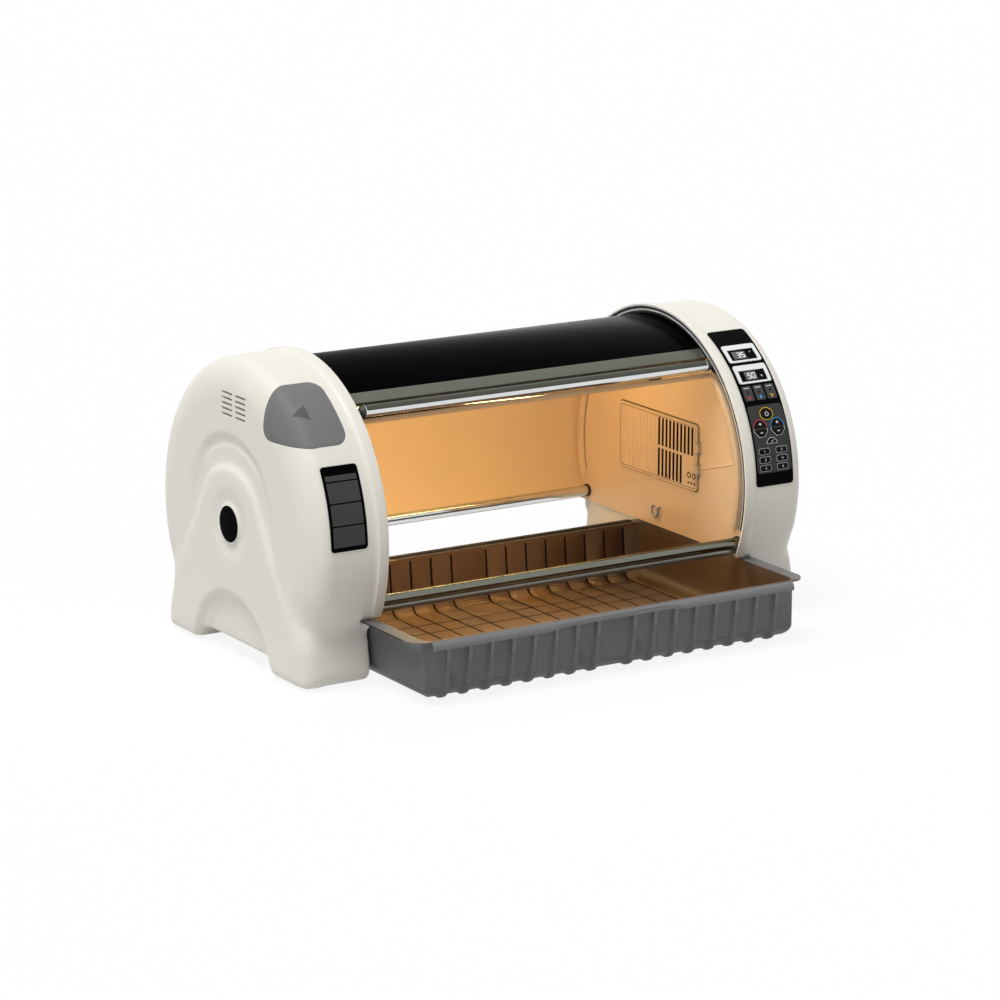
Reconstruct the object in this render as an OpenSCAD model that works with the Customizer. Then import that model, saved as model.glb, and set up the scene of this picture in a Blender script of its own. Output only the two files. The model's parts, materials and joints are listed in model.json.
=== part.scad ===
// Barrel-shaped chick brooder on two end housings, with a roll-up door and a pull-out tray.
// X runs along the barrel, the front is -Y, Z is up, and the table is at Z = 0.
// The origin is on the table, at the middle of the footprint with the tray pulled out as at rest.

/* [Barrel] */
// Clear length between the two end rims
barrel_len = 712; // [690:1:735]
// Height of the barrel axis above the table
axis_h = 235; // [234:0.5:238]
// Outer radius of the end housings' drum
drum_r = 279; // [278:0.5:280]

/* [Housings] */
// Length of a housing from its rim face to its leg face
housing_w = 144; // [138:1:150]
// Thickness of the moulded shell
shell_t = 5; // [4.5:0.1:5.5]
// Width of the raised rim round the barrel end
rim_w = 19; // [16:0.5:22]
// How far the rim stands out from the drum
rim_stand = 3.5; // [3:0.1:4]
// Thickness of the rim
rim_t = 4; // [3.6:0.1:4.4]
// Rounding of the rim's edges
rim_round = 1.8; // [1:0.1:1.9]
// Length of the rounded shoulder along the drum
shoulder_x = 38; // [34:1:42]
// Depth of the rounded shoulder across the end face
shoulder_r = 64; // [56:1:70]
// Height of the housing's underside between its feet
under_h = 28; // [24:0.5:32]
// How far the leg relief stands out from the end face
leg_stand = 4; // [3:0.5:6]
// Radius of the shallow dish in the end face
dish_r = 137; // [130:1:144]
// Width of the dish's sloped edge
dish_edge = 15; // [12:1:18]
// Depth of the dish
dish_depth = 4; // [3:0.5:5]
// Radius of the arch between the legs
arch_r = 118; // [112:1:124]
// Height of the arch's crown above the table
arch_h = 94; // [88:1:98]

/* [Feet] */
// How far a foot reaches from the middle of the housing
foot_reach = 250; // [246:1:254]
// Where the arch side of a foot meets the table
foot_inner = 136; // [130:1:142]
// Slant of a foot's arch side
foot_slant = 18; // [14:1:22]
// Rounding of a foot's front edge
foot_round = 24; // [20:1:28]
// Rounding of the legs' outer lower edge
leg_round = 15; // [12:1:18]
// Rounding of the legs' upright corners
leg_corner = 40; // [34:1:46]
// Angle below the front where a foot leaves the drum
foot_angle = 30.5; // [29:0.5:32]
// Height of a rubber foot
pad_h = 4; // [3:0.5:5]
// Radius of a rubber foot
pad_r = 14; // [12:1:16]

/* [Vents] */
// Length of a vent slot
vent_len = 37; // [33:1:41]
// Height of a vent slot
vent_w = 3.9; // [3.4:0.1:4.4]
// Spacing of the vent slots
vent_pitch = 9.1; // [8.5:0.1:9.7]
// Slots in each column
vent_rows = 5; // [3:1:5]
// Gap between the two columns
vent_gap = 9; // [7:0.5:11]
// Height of the vents above the barrel axis
vent_up = 206; // [202:1:208]
// How far the vents sit towards the front
vent_shift = 14; // [10:1:18]

/* [Inner walls] */
// Set-back of the inner wall from the rim face
wall_set = 10; // [9:0.5:11]
// Thickness of an inner wall
wall_t = 4; // [3.5:0.1:4.5]
// Width of the door track
track_w = 13.5; // [12:0.5:15]
// How far the door track stands out from the wall
track_h = 6; // [5:0.5:7]
// Angles from the front where the track starts and ends
track_span = [-17, 197];
// Angles from the front where the rim gasket starts and ends
gasket_span = [-15, 196];
// How far the gasket stands out from the wall
gasket_h = 8; // [7:0.5:8.5]
// Width of the bright ring on the gasket
ring_w = 3; // [2:0.2:4]
// Height of the bright ring on the gasket
ring_h = 1.4; // [1:0.1:1.6]

/* [Cover] */
// How far the top cover lies inside the drum's surface
cover_set = 13.8; // [13.6:0.1:14.2]
// Thickness of the top cover
cover_t = 2.7; // [2.4:0.1:2.8]
// Thickness of the liner inside the cover
liner_t = 2.3; // [2.1:0.1:2.4]
// Angles from the front where the cover starts and ends
cover_span = [57, 206];
// Angles from the front where the front trim starts and ends
trim_span = [54.2, 59.3];
// Thickness of the front trim over the cover
trim_t = 2.8; // [2.2:0.1:3.2]

/* [Rods] */
// Radius of the tie rods
rod_r = 9.5; // [9:0.1:9.8]
// Gap between the front rod and the inner wall's edge
front_rod_gap = 2.8; // [2.4:0.1:3.8]
// Angle of the front rod from the front
front_rod_a = -20.9; // [-21.5:0.1:-20.5]
// Gap between the back rod and the cover's liner
back_rod_gap = 2.7; // [2.3:0.1:4.7]
// Angle of the back rod from the front
back_rod_a = 204.1; // [203.5:0.1:204.5]
// Wall of a rod collar
collar_t = 2; // [1.5:0.1:2.2]
// Length of a rod collar
collar_len = 5; // [4:0.5:6]
// Radius of a rod bolt's head
bolt_r = 7; // [6:0.2:7.5]
// Height of a rod bolt's head
bolt_h = 4.5; // [4:0.1:5]
// Thickness of the sill strip under the front rod
sill_t = 5; // [4:0.2:6]
// Height of the sill strip
sill_h = 9.5; // [8:0.5:10]

/* [Door] */
// Gap between the clear door panel and the cover's liner
door_gap = 1.7; // [1.5:0.1:2.2]
// Thickness of the door panel
door_t = 3; // [2.6:0.1:3.2]
// Angle that the door panel spans
door_arc = 77.5; // [74:0.5:80]
// Radius of the handle bar
handle_r = 10; // [9:0.2:10.4]
// Gap between the handle bar and the door panel
handle_stand = 3; // [2.5:0.1:3.5]
// Angle of the handle bar from the front, with the door open
handle_a = 49.7; // [49:0.1:50]
// Gap between the handle's end and the rim face
handle_gap = 4; // [3:0.5:6]
// Width of a handle mount along the bar
mount_w = 24; // [20:1:28]
// Depth of a handle mount across the bar
mount_d = 12; // [10:0.5:14]
// Angle that the door's lower rail spans
rail_arc = 1.6; // [1.2:0.1:1.8]
// Angle that a guide shoe spans
shoe_arc = 4; // [3:0.5:5]
// How far a guide shoe reaches into the track
shoe_w = 4.6; // [4:0.1:4.7]

/* [Tray] */
// Height of the tray's rim above the table
rim_h = 112; // [111:0.2:113]
// Half length of the tray at its flange
flange_half = 390.5; // [389:0.5:391]
// Half length of the tray's body at its rim
tray_half = 369.5; // [368:0.5:370]
// Distance of the tray's front wall from the barrel axis, as pulled out
tray_front = 417; // [412:1:422]
// Distance of the tray's back wall behind the barrel axis, as pulled out
tray_back = 55; // [50:1:60]
// Height of the tray's underside above the table
tray_low = 11; // [10:0.5:12]
// Thickness of the tray's sheet
tray_t = 3; // [2.6:0.1:3.4]
// Width of the flange behind the back wall
back_flange = 17; // [14:1:20]
// Slope of the tray's front and back walls from upright
tray_slope = 6; // [4:0.5:8]
// Slope of the tray's side walls from upright
side_slope = 3; // [2:0.5:4]
// Rounding where the tray's walls meet its floor
tray_round = 22; // [18:1:26]
// Rounding of the tray's upright corners
tray_corner = 28; // [22:1:34]
// Ribs on each half of the tray
rib_count = 8; // [6:1:8]
// Spacing of the ribs
rib_pitch = 41.4; // [40:0.2:41.6]
// Spacing of the two middle ribs
rib_middle = 71.8; // [66:0.2:72]
// Width of a rib
rib_w = 7; // [6:0.5:8]
// Height of a rib
rib_h = 4; // [3:0.5:5]
// Depth of the floor's two long grooves
groove_h = 1.2; // [0.8:0.1:1.6]
// Width of the floor's two long grooves
groove_w = 3.4; // [3:0.2:4.2]
// Radius of the rolled front lip
lip_r = 12; // [11:0.5:13]
// Height of the rolled front lip
lip_h = 15; // [14:0.5:17]
// How far the lip reaches in front of the wall
lip_reach = 8; // [7.5:0.5:9]
// Distance between the lip's end and the tray's corner
lip_end = 12; // [9:1:16]
// Thickness of a runner under the flange
runner_h = 2.7; // [2.2:0.1:3]
// Length of a runner
runner_len = 464; // [440:2:470]

/* [Service cover] */
// Angles from the front where the cover's edges lie
service_span = [37.4, 65.3];
// Distance from the rim face to the cover's straight edge
service_set = 39; // [37:0.5:41]
// Rounding of the cover's corners
service_round = 24; // [20:1:28]
// Thickness of the cover
service_t = 2.2; // [1.8:0.1:2.4]
// Rounding of the cover's corner on the end face
tip_round = 20; // [16:1:24]
// Length of the filling hole under the cover
fill_len = 56; // [48:1:60]
// Width of the filling hole under the cover
fill_w = 60; // [50:1:66]

/* [Label] */
// Angles from the front where the plate starts and ends
label_span = [1.4, 30.3];
// Distance from the rim face to the plate
label_set = 38.5; // [37:0.5:40]
// Length of the plate
label_len = 68; // [64:1:69]
// Thickness of the plate
label_t = 0.8; // [0.6:0.1:1]
// Radius of the hub disc
hub_r = 31; // [29:0.5:33]
// Thickness of the hub disc
hub_t = 1.5; // [1:0.1:2]

/* [Control panel] */
// Distance from the rim face to the panel
panel_set = 24; // [23:0.5:25]
// Length of the panel
panel_len = 78; // [76:0.5:79]
// Thickness of the panel
panel_t = 1.2; // [1:0.1:1.4]
// Angles from the front where the panel starts and ends
panel_span = [1.5, 64.2];
// Angles where the two display frames start and end
bezel_spans = [[48, 55.9], [39.1, 46.6]];
// Angles where the two display windows start and end
window_spans = [[48.8, 53.7], [39.8, 44.3]];
// Distance from the panel's edge to a display frame
bezel_set = 5; // [4:0.5:6]
// Distance from the panel's edge to a display window
window_set = 12; // [10:0.5:13]
// Height of a display frame
bezel_h = 1.6; // [1.2:0.1:2]
// Thickness of a display
lcd_t = 0.7; // [0.5:0.1:0.9]
// Angles where the indicator cells start and end
cell_span = [32.5, 38.2];
// Length of an indicator cell
cell_w = 19.5; // [18:0.5:20.5]
// Spacing of the indicator cells
cell_pitch = 23.8; // [23:0.1:24.2]
// Thickness of an indicator cell
cell_t = 0.4; // [0.3:0.1:0.6]
// Radius of an indicator light
light_r = 2.6; // [2:0.1:3]
// Height of an indicator light
light_h = 1; // [0.8:0.1:1.4]
// Angle of the indicator lights
light_a = 35.8; // [34.5:0.1:36.5]
// Angles where the keypad starts and ends
keypad_span = [6.2, 30.5];
// Distance from the panel's edge to the keypad
keypad_set = 3; // [2:0.5:4]
// Thickness of the keypad
keypad_t = 0.8; // [0.6:0.1:1]

/* [Keys] */
// How far a key stands out from the keypad
key_stand = 1.2; // [0.9:0.1:1.5]
// How far a key travels
key_travel = 0.6; // [0.4:0.1:0.7]
// Length of a small key
small_w = 21; // [19:0.5:22]
// Height of a small key
small_h = 8.8; // [8:0.2:9.2]
// Half length of a pointed key
point_w = 12.6; // [11.5:0.1:13]
// Height of a pointed key
point_h = 12.4; // [11:0.2:12.6]
// Half length of the power key
power_w = 11.6; // [10.5:0.1:12]
// Half height of the power key
power_h = 9.4; // [8.5:0.1:9.6]
// Half length of the confirm key
confirm_w = 9.6; // [8.5:0.1:10]
// Height of the confirm key
confirm_h = 8; // [7:0.2:8.4]

/* [Grille] */
// Length of the grille door
grille_w = 243; // [236:1:245]
// Height of the grille door
grille_h = 119; // [115:1:121]
// Thickness of the grille door
grille_t = 4.2; // [3.8:0.1:4.4]
// Height of the grille's middle above the barrel axis
grille_up = 29; // [27:0.5:31]
// How far the grille's middle sits towards the front
grille_shift = 2.5; // [1:0.5:4]
// Rounding of the grille's corners
grille_round = 6; // [4:0.5:8]
// Width of the grille's frame
frame_w = 6; // [5:0.5:7]
// Height of the grille's middle rail
rail_h = 5; // [4:0.5:6]
// Spacing of the grille's slots
slot_pitch = 11.4; // [11:0.1:11.6]
// Width of a grille slot
slot_w = 6.4; // [5.8:0.1:7]
// Slots in the open half
slot_count = 10; // [8:1:10]
// Depth of a blind groove in the closed half
blind_h = 1.2; // [0.8:0.1:1.6]
// Radius of a hinge barrel
knuckle_r = 3.4; // [3.2:0.1:3.6]
// Length of a hinge barrel
knuckle_len = 14; // [12:0.5:16]
// Radius of a hinge pin
pin_r = 1.5; // [1.4:0.05:1.6]
// Thickness of a hinge lug
lug_t = 4; // [3:0.5:5]
// Half spacing of the two hinges
hinge_half = 19.5; // [18:0.5:24]

/* [Inside] */
// Radius of the fan's shroud
shroud_r = 52; // [50:0.5:54]
// Length of the fan's shroud
shroud_len = 22; // [20:0.5:24]
// Radius of the fan's motor
motor_r = 16; // [15:0.5:17]
// Blades on the fan
blade_count = 7; // [5:1:9]
// Radius of the motor's shaft
shaft_r = 2.5; // [2.3:0.1:2.7]
// Width of the heater
heater_w = 90; // [84:1:94]
// Height of the heater
heater_h = 70; // [64:1:76]
// Depth of the heater
heater_d = 26; // [22:1:30]
// Fins on the heater
fin_count = 12; // [8:1:14]
// Length of the control board
board_w = 70; // [66:1:74]
// Height of the control board
board_h = 140; // [130:1:146]
// Thickness of the control board
board_t = 1.6; // [1.4:0.1:1.8]
// Width of the water tank
tank_w = 96; // [88:1:100]
// Depth of the water tank across the shell
tank_d = 110; // [100:1:116]
// Height of the water tank
tank_h = 118; // [110:1:122]
// Radius of the tank's cap
cap_r = 19; // [17:0.5:20]
// Height of the tank's cap
cap_h = 12; // [10:0.5:14]
// Width of the lamp
lamp_w = 22; // [20:0.5:24]
// Height of the lamp's holder
lamp_h = 8; // [7:0.5:9]
// Height of the lamp's diffuser
glow_h = 5; // [4:0.5:6]
// Radius of the hook's wire
wire_r = 2; // [1.8:0.1:2.4]
// Radius of the hook's bend
hook_r = 11; // [10:0.5:12]
// Width of the power inlet
inlet_w = 34; // [32:0.5:36]
// Height of the power inlet
inlet_h = 26; // [24:0.5:28]
// Depth of the power inlet
inlet_d = 28; // [24:1:30]

/* [Fits] */
// Running gap between sliding pieces
run_gap = 0.5; // [0.4:0.05:0.6]
// Gap between seated pieces
seat_gap = 0.2; // [0.1:0.05:0.25]
// Radial gap of a pin in its bore
pin_gap = 0.05; // [0.03:0.01:0.08]
// Side gap of a key in its hole
key_gap = 0.4; // [0.35:0.05:0.45]

/* [Hidden] */
$fn = 96;
// Overrun of cuts past the surfaces they open
over = drum_r / 100;
half_clear = barrel_len / 2;
end_x = half_clear + housing_w;
end_face = end_x - leg_stand;
rim_r = drum_r + rim_stand;
rim_open = rim_r - rim_t;
cavity_r = drum_r - shell_t;
cavity_end = end_face - dish_depth - shell_t;
wall_x = half_clear + wall_set;
wall_back = wall_x + wall_t;
wall_r = rim_open - seat_gap;
// Shift that sets the middle of the footprint, with the tray pulled out, at the origin
axis_y = (tray_front + lip_reach - rim_r) / 2;
cover_r = drum_r - cover_set;
flange_low = rim_h - tray_t;
runner_top = flange_low - seat_gap;
slot_low = runner_top - runner_h;
wall_low = rim_h + runner_h;
slot_x = flange_half + runner_h;
block_x = tray_half + tray_t;
liner_out = cover_r - cover_t;
liner_in = liner_out - liner_t;
front_rod_d = wall_r - rod_r - front_rod_gap;
back_rod_d = liner_in - rod_r - back_rod_gap;
door_r = liner_in - door_gap;
handle_d = door_r + handle_r + handle_stand;
shoe_out = liner_in - run_gap;
door_in = door_r - door_t;
door_half = wall_x - run_gap - shoe_w;
shoe_in = door_in - run_gap * 3;
track_out = shoe_in - run_gap;
track_r = track_out - track_w;
door_low = handle_a - (mount_d / 2 + run_gap) / door_r * 180 / PI;
cover_half = wall_x - seat_gap;
gasket_in = cover_r + seat_gap;
key_low = drum_r + key_travel + run_gap;
keypad_r = drum_r + panel_t;
key_top = keypad_r + keypad_t + key_stand;
panel_x = half_clear + panel_set;
panel_mid = panel_x + panel_len / 2;
service_x = half_clear + service_set;
service_mid = (service_span[0] + service_span[1]) / 2;
service_half = drum_r * sin((service_span[1] - service_span[0]) / 2);
hinge_x = wall_x - seat_gap - grille_t - lug_t / 4;
hinge_y = -grille_shift - grille_w / 2 - lug_t * 3 / 4;
fan_y = -grille_shift - grille_w / 4;
heater_y = -grille_shift + grille_w / 4;
lamp_a = 100;
vent_round_share = 0.4;
lamp_r = track_r - lamp_h - run_gap;
// Hook, tank neck and mist maker as shares of the hook's bend and the cap's radius
hook_up_share = 2.4;
neck_share = 0.8;
mist_share = 1.3;
// Fan along the shroud's length: shaft's start, hub's start, hub's length, motor's start and end
shaft_share = 0.15;
hub_at_share = 0.18;
hub_share = 0.45;
motor_shares = [0.7, 1.6];
// Fan blade's tip as a share of the shroud's radius, its root as a share of the hub's, and its twist
tip_share = 0.87;
root_share = 0.9;
blade_a = 35;
// Power inlet's distance from the dish as a share of its width, and its socket's depth
inlet_share = 0.6;
socket_share = 0.6;
// Pointed key's side height and flat top as shares of its height and half length
side_share = 0.28;
top_share = 0.38;
// Steps of an arc in an outline of points
arc_steps = 6;
// Leg relief's side as shares of the drum radius, from the top of the legs down
leg_shares = [[0.26, 0.26], [0.40, 0.05], [0.52, -0.17], [0.67, -0.37], [0.85, -0.51]];
// Handle mounts as shares of the handle's half length
mount_shares = [-0.7, 0, 0.7];
// Angles of the three small key rows and shares of the panel's length for the two key columns
small_rows = [13.95, 10.95, 8];
column_shares = [0.26, 0.72];
// Pointed, power and confirm keys: angle of the key's base
point_base = [22.45, 21.75];
power_a = 27.2;
confirm_a = 16.7;
confirm_share = 0.5;
// Long floor grooves as shares of the tray's depth from its front wall
groove_shares = [0.715, 0.81];

// Frames and sweeps

module at_axis() { translate([0, axis_y, axis_h]) children(); }

module on_table() { translate([0, axis_y, 0]) children(); }

module on_right() { mirror([1, 0, 0]) children(); }

module both_ends() {
    children();
    on_right() children();
}

// Sweeps a (radius, distance to the left) profile round the barrel axis, in angles up from the front
module around(span) {
    rotate([90, 0, -90]) rotate([0, 0, span[0]]) rotate_extrude(angle = span[1] - span[0]) children();
}

module around_all() {
    rotate([90, 0, -90]) rotate_extrude() children();
}

// Sweeps a (Y, Z) outline from x0 to x1
module along_x(x0, x1) {
    translate([x0, 0, 0]) rotate([90, 0, 90]) linear_extrude(x1 - x0) children();
}

// Sweeps an (X, Z) outline from y0 to y1
module along_y(y0, y1) {
    translate([0, y1, 0]) rotate([90, 0, 0]) linear_extrude(y1 - y0) children();
}

// Puts a piece on the drum at an angle up from the front, with its Z pointing outwards
module on_drum(a, x, r) {
    rotate([90 - a, 0, 0]) translate([x, 0, r]) children();
}

module rod_x(r, x0, x1) {
    translate([x0, 0, 0]) rotate([0, 90, 0]) cylinder(r = r, h = x1 - x0);
}

module at_polar(d, a) {
    translate([0, -d * cos(a), d * sin(a)]) children();
}

module band2d(r0, r1, h0, h1) {
    translate([r0, h0]) square([r1 - r0, h1 - h0]);
}

module box(x0, x1, y0, y1, z0, z1) {
    translate([x0, y0, z0]) cube([x1 - x0, y1 - y0, z1 - z0]);
}

module rounded2d(x0, x1, y0, y1, r) {
    translate([x0 + r, y0]) square([x1 - x0 - 2 * r, y1 - y0]);
    translate([x0, y0 + r]) square([x1 - x0, y1 - y0 - 2 * r]);
    for (x = [x0 + r, x1 - r], y = [y0 + r, y1 - r]) translate([x, y]) circle(r);
}

// Points of an arc, in steps from one angle to another
function arc(c, r, a0, a1, steps) =
    [for (i = [0:steps]) c + r * [cos(a0 + (a1 - a0) * i / steps), sin(a0 + (a1 - a0) * i / steps)]];

// Housings

// Half section of the drum, grown outwards, with an elliptical shoulder
module drum2d(grow, end) {
    r = drum_r + grow;
    cr = shoulder_r + grow;
    cx = shoulder_x + grow;
    shoulder = [for (p = arc([0, 0], 1, 0, 90, 2 * arc_steps)) [r - cr + cr * p[0], end - cx + cx * p[1]]];
    polygon(concat([[0, half_clear], [r, half_clear]], shoulder, [[0, end]]));
}

module rim2d() {
    band2d(0, rim_r - rim_round, half_clear, half_clear + rim_w);
    band2d(0, rim_r, half_clear + rim_round, half_clear + rim_w - rim_round);
    for (h = [half_clear + rim_round, half_clear + rim_w - rim_round])
        translate([rim_r - rim_round, h]) circle(rim_round);
}

module dish2d() {
    polygon([
        [0, end_face - dish_depth], [dish_r, end_face - dish_depth],
        [dish_r + dish_edge, end_face], [dish_r + dish_edge, end_x], [0, end_x]
    ]);
}

module cavity2d() {
    band2d(0, rim_open, half_clear - over, wall_back);
    drum2d(-shell_t, cavity_end);
}

module foot2d() {
    low = pad_h - axis_h;
    top = -drum_r * sin(foot_angle);
    polygon([
        [-drum_r * cos(foot_angle), top], [-foot_reach, low + foot_round], [foot_round - foot_reach, low],
        [-foot_inner, low], [foot_slant - foot_inner, under_h - axis_h], [foot_slant - foot_inner, top]
    ]);
    translate([foot_round - foot_reach, low + foot_round]) circle(foot_round);
}

module legs2d() {
    low = pad_h - axis_h;
    side = [for (s = leg_shares) s * drum_r];
    other = [for (i = [len(side) - 1:-1:0]) [-side[i][0], side[i][1]]];
    crown = side[0][1] * sqrt(2);
    difference() {
        union() {
            polygon(concat(side, [[drum_r * cos(foot_angle), low], [-drum_r * cos(foot_angle), low]], other));
            intersection() {
                translate([0, side[0][1] - crown]) circle(norm([side[0][0], crown]));
                translate([-side[0][0], 0]) square([2 * side[0][0], drum_r]);
            }
        }
        translate([0, arch_h - axis_h - arch_r]) circle(arch_r);
        translate([-arch_r, low - over]) square([2 * arch_r, arch_h - arch_r - pad_h + over]);
        translate([-foot_inner, low - over]) square([2 * foot_inner, under_h - pad_h + over]);
    }
}

// Legs seen from the front, with a rounded outer lower edge
module legs_front2d() {
    low = pad_h - axis_h;
    polygon(concat(
        arc([leg_round - end_x, low + leg_round], leg_round, 180, 270, arc_steps),
        [[-block_x, low], [-block_x, drum_r], [-end_x, drum_r]]
    ));
}

// Legs seen from above, with rounded outer corners
module legs_plan2d() {
    x = leg_corner - end_x;
    y = foot_reach - leg_corner;
    polygon(concat(
        arc([x, y], leg_corner, 90, 180, arc_steps), arc([x, -y], leg_corner, 180, 270, arc_steps),
        [[-block_x, -foot_reach], [-block_x, foot_reach]]
    ));
}

module legs() {
    intersection() {
        union() {
            for (m = [0, 1]) mirror([0, m, 0]) along_x(-end_x, -block_x) foot2d();
            along_x(-end_x, shoulder_x - end_face) legs2d();
        }
        along_y(-drum_r - over, drum_r + over) legs_front2d();
        translate([0, 0, -axis_h]) linear_extrude(2 * axis_h) legs_plan2d();
    }
}

module cavity() {
    floor_z = under_h - axis_h + shell_t;
    intersection() {
        around_all() cavity2d();
        union() {
            box(-wall_back - seat_gap, over - half_clear, -drum_r, drum_r, wall_low - axis_h - over, drum_r);
            box(-end_x, -wall_back, -drum_r, drum_r, wall_low - axis_h + shell_t, drum_r);
            box(-end_x, -slot_x - shell_t, -drum_r, drum_r, floor_z, drum_r);
            box(-end_x, -block_x - shell_t, -drum_r, drum_r, floor_z, slot_low - axis_h - shell_t);
        }
    }
}

module tray_way() {
    box(-slot_x, over - half_clear, -rim_r - over, rim_r + over, slot_low - axis_h, wall_low - axis_h);
    box(-block_x, over - half_clear, -rim_r - over, rim_r + over, -rim_r - over, slot_low - axis_h);
}

module vents() {
    for (col = [-1, 1], row = [0:vent_rows - 1])
        translate([0, col * (vent_len + vent_gap) / 2 - vent_shift, (row - vent_rows / 2) * vent_pitch])
            along_x(-end_x, shell_t - cavity_end)
                rounded2d(-vent_len / 2, vent_len / 2, vent_up, vent_up + vent_w, vent_w * vent_round_share);
}

module housing() {
    difference() {
        union() {
            difference() {
                intersection() {
                    around_all() {
                        drum2d(0, end_face);
                        rim2d();
                    }
                    box(-end_x, -half_clear, -rim_r, rim_r, under_h - axis_h, rim_r);
                }
                around_all() dish2d();
            }
            legs();
        }
        cavity();
        tray_way();
        vents();
    }
}

// Outline of the service cover seen from outside, grown by a gap
module service_face2d(gap) {
    x = -service_x - service_round;
    y = service_half + run_gap - service_round;
    r = service_round + gap;
    polygon(concat(
        arc([x, -y], r, -90, 0, arc_steps), arc([x, y], r, 0, 90, arc_steps),
        [[-end_x - over, y + r], [-end_x - over, -y - r]]
    ));
}

// Outline of the service cover seen from the end, with one rounded corner towards the barrel axis
module service_end2d(gap) {
    y = -drum_r * cos(service_span[1]) - tip_round;
    z = drum_r * sin(service_span[0]) + tip_round;
    r = tip_round + gap;
    polygon(concat(arc([y, z], r, 0, -90, arc_steps), [[-rim_r, z - r], [-rim_r, rim_r], [y + r, rim_r]]));
}

module service_zone(gap) {
    intersection() {
        on_drum(service_mid, 0, 0) linear_extrude(rim_r + over) service_face2d(gap);
        along_x(-end_x - over, -half_clear) service_end2d(gap);
    }
}

// Skin of the drum round the service cover, from inward to outward of its surface
module skin(outward, inward) {
    reach = 2 * service_half / drum_r * 180 / PI;
    around([service_mid - reach, service_mid + reach]) intersection() {
        difference() {
            drum2d(outward, end_face + outward);
            drum2d(-inward, end_face - inward);
        }
        band2d(drum_r / 2, rim_r, service_x - service_round, end_x);
    }
}

module left_housing() {
    color("ivory") at_axis() difference() {
        housing();
        intersection() {
            skin(over, service_t + seat_gap);
            service_zone(run_gap);
        }
        on_drum(service_mid, -service_x - (fill_len + shell_t) / 2, cavity_r - 2 * shell_t)
            translate([-fill_len / 2, -fill_w / 2, 0]) cube([fill_len, fill_w, shoulder_x]);
    }
}

module right_housing() {
    color("ivory") at_axis() difference() {
        on_right() housing();
        inlet_cut(run_gap / 2);
    }
}

// Inner walls

module wall_plate() {
    difference() {
        intersection() {
            around_all() band2d(0, wall_r, wall_x, wall_back);
            box(-end_x, 0, -rim_r, rim_r, wall_low - axis_h + seat_gap, rim_r);
        }
        for (p = [[front_rod_d, front_rod_a], [back_rod_d, back_rod_a]])
            at_polar(p[0], p[1]) rod_x(rod_r + pin_gap, -wall_back - over, over - wall_x);
    }
}

module left_wall() {
    color("burlywood") at_axis() wall_plate();
}

module right_wall() {
    color("burlywood") at_axis() difference() {
        on_right() wall_plate();
        translate([0, -grille_shift, grille_up])
            box(wall_x - over, wall_back + over, frame_w - grille_w / 2, grille_w / 2 - frame_w,
                frame_w - grille_h / 2, grille_h / 2 - frame_w);
    }
}

module door_tracks() {
    color("tan") at_axis() both_ends()
        around(track_span) band2d(track_r, track_out, wall_x - track_h, wall_x);
}

module rim_gaskets() {
    color("black") at_axis() both_ends()
        around(gasket_span) band2d(gasket_in, wall_r, wall_x - gasket_h, wall_x);
}

module rim_rings() {
    mid = (gasket_in + wall_r) / 2;
    face = wall_x - gasket_h;
    color("gainsboro") at_axis() both_ends()
        around(gasket_span) band2d(mid - ring_w / 2, mid + ring_w / 2, face - ring_h, face);
}

// Cover

module top_cover() {
    color("black") at_axis() around(cover_span) band2d(liner_out, cover_r, -cover_half, cover_half);
}

module cover_liner() {
    color("sandybrown") at_axis() around(cover_span) band2d(liner_in, liner_out, -cover_half, cover_half);
}

module top_trim() {
    trim_half = wall_x - gasket_h - run_gap;
    color("dimgray") at_axis() union() {
        around([trim_span[0], cover_span[0]]) band2d(liner_in, cover_r + trim_t, -trim_half, trim_half);
        around(trim_span) band2d(cover_r, cover_r + trim_t, -trim_half, trim_half);
    }
}

// Rods

module front_rod() {
    color("silver") at_axis() at_polar(front_rod_d, front_rod_a) rod_x(rod_r, -wall_back, wall_back);
}

module back_rod() {
    color("silver") at_axis() at_polar(back_rod_d, back_rod_a) rod_x(rod_r, -wall_back, wall_back);
}

module each_rod_end() {
    at_axis() both_ends()
        for (p = [[front_rod_d, front_rod_a], [back_rod_d, back_rod_a]]) at_polar(p[0], p[1]) children();
}

module rod_collars() {
    color("dimgray") each_rod_end() difference() {
        rod_x(rod_r + collar_t, -wall_x, collar_len - wall_x);
        rod_x(rod_r + pin_gap, -wall_x - over, collar_len - wall_x + over);
    }
}

module rod_bolts() {
    color("gray") each_rod_end()
        translate([-wall_back - bolt_h, 0, 0]) rotate([0, 90, 0]) cylinder(r = bolt_r, h = bolt_h, $fn = 6);
}

module front_sill() {
    half = wall_x - collar_len - seat_gap;
    color("gray") at_axis() at_polar(front_rod_d, front_rod_a)
        box(-half, half, -sill_t / 2, sill_t / 2, -rod_r - seat_gap - sill_h, -rod_r - seat_gap);
}

// Tray

module tray_runners() {
    color("whitesmoke") on_table() both_ends()
        box(-slot_x, -block_x, -runner_len / 2, runner_len / 2, slot_low, runner_top);
}

// Trough outline with sloped sides and rounded lower corners, between two rim places
module trough2d(left, right, low, top, slope, r) {
    inset = (top - low - r) * tan(slope) + r / cos(slope);
    polygon(concat(
        [[left, top]], arc([left + inset, low + r], r, 180 + slope, 270, arc_steps),
        arc([right - inset, low + r], r, 270, 360 - slope, arc_steps), [[right, top]]
    ));
}

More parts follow.
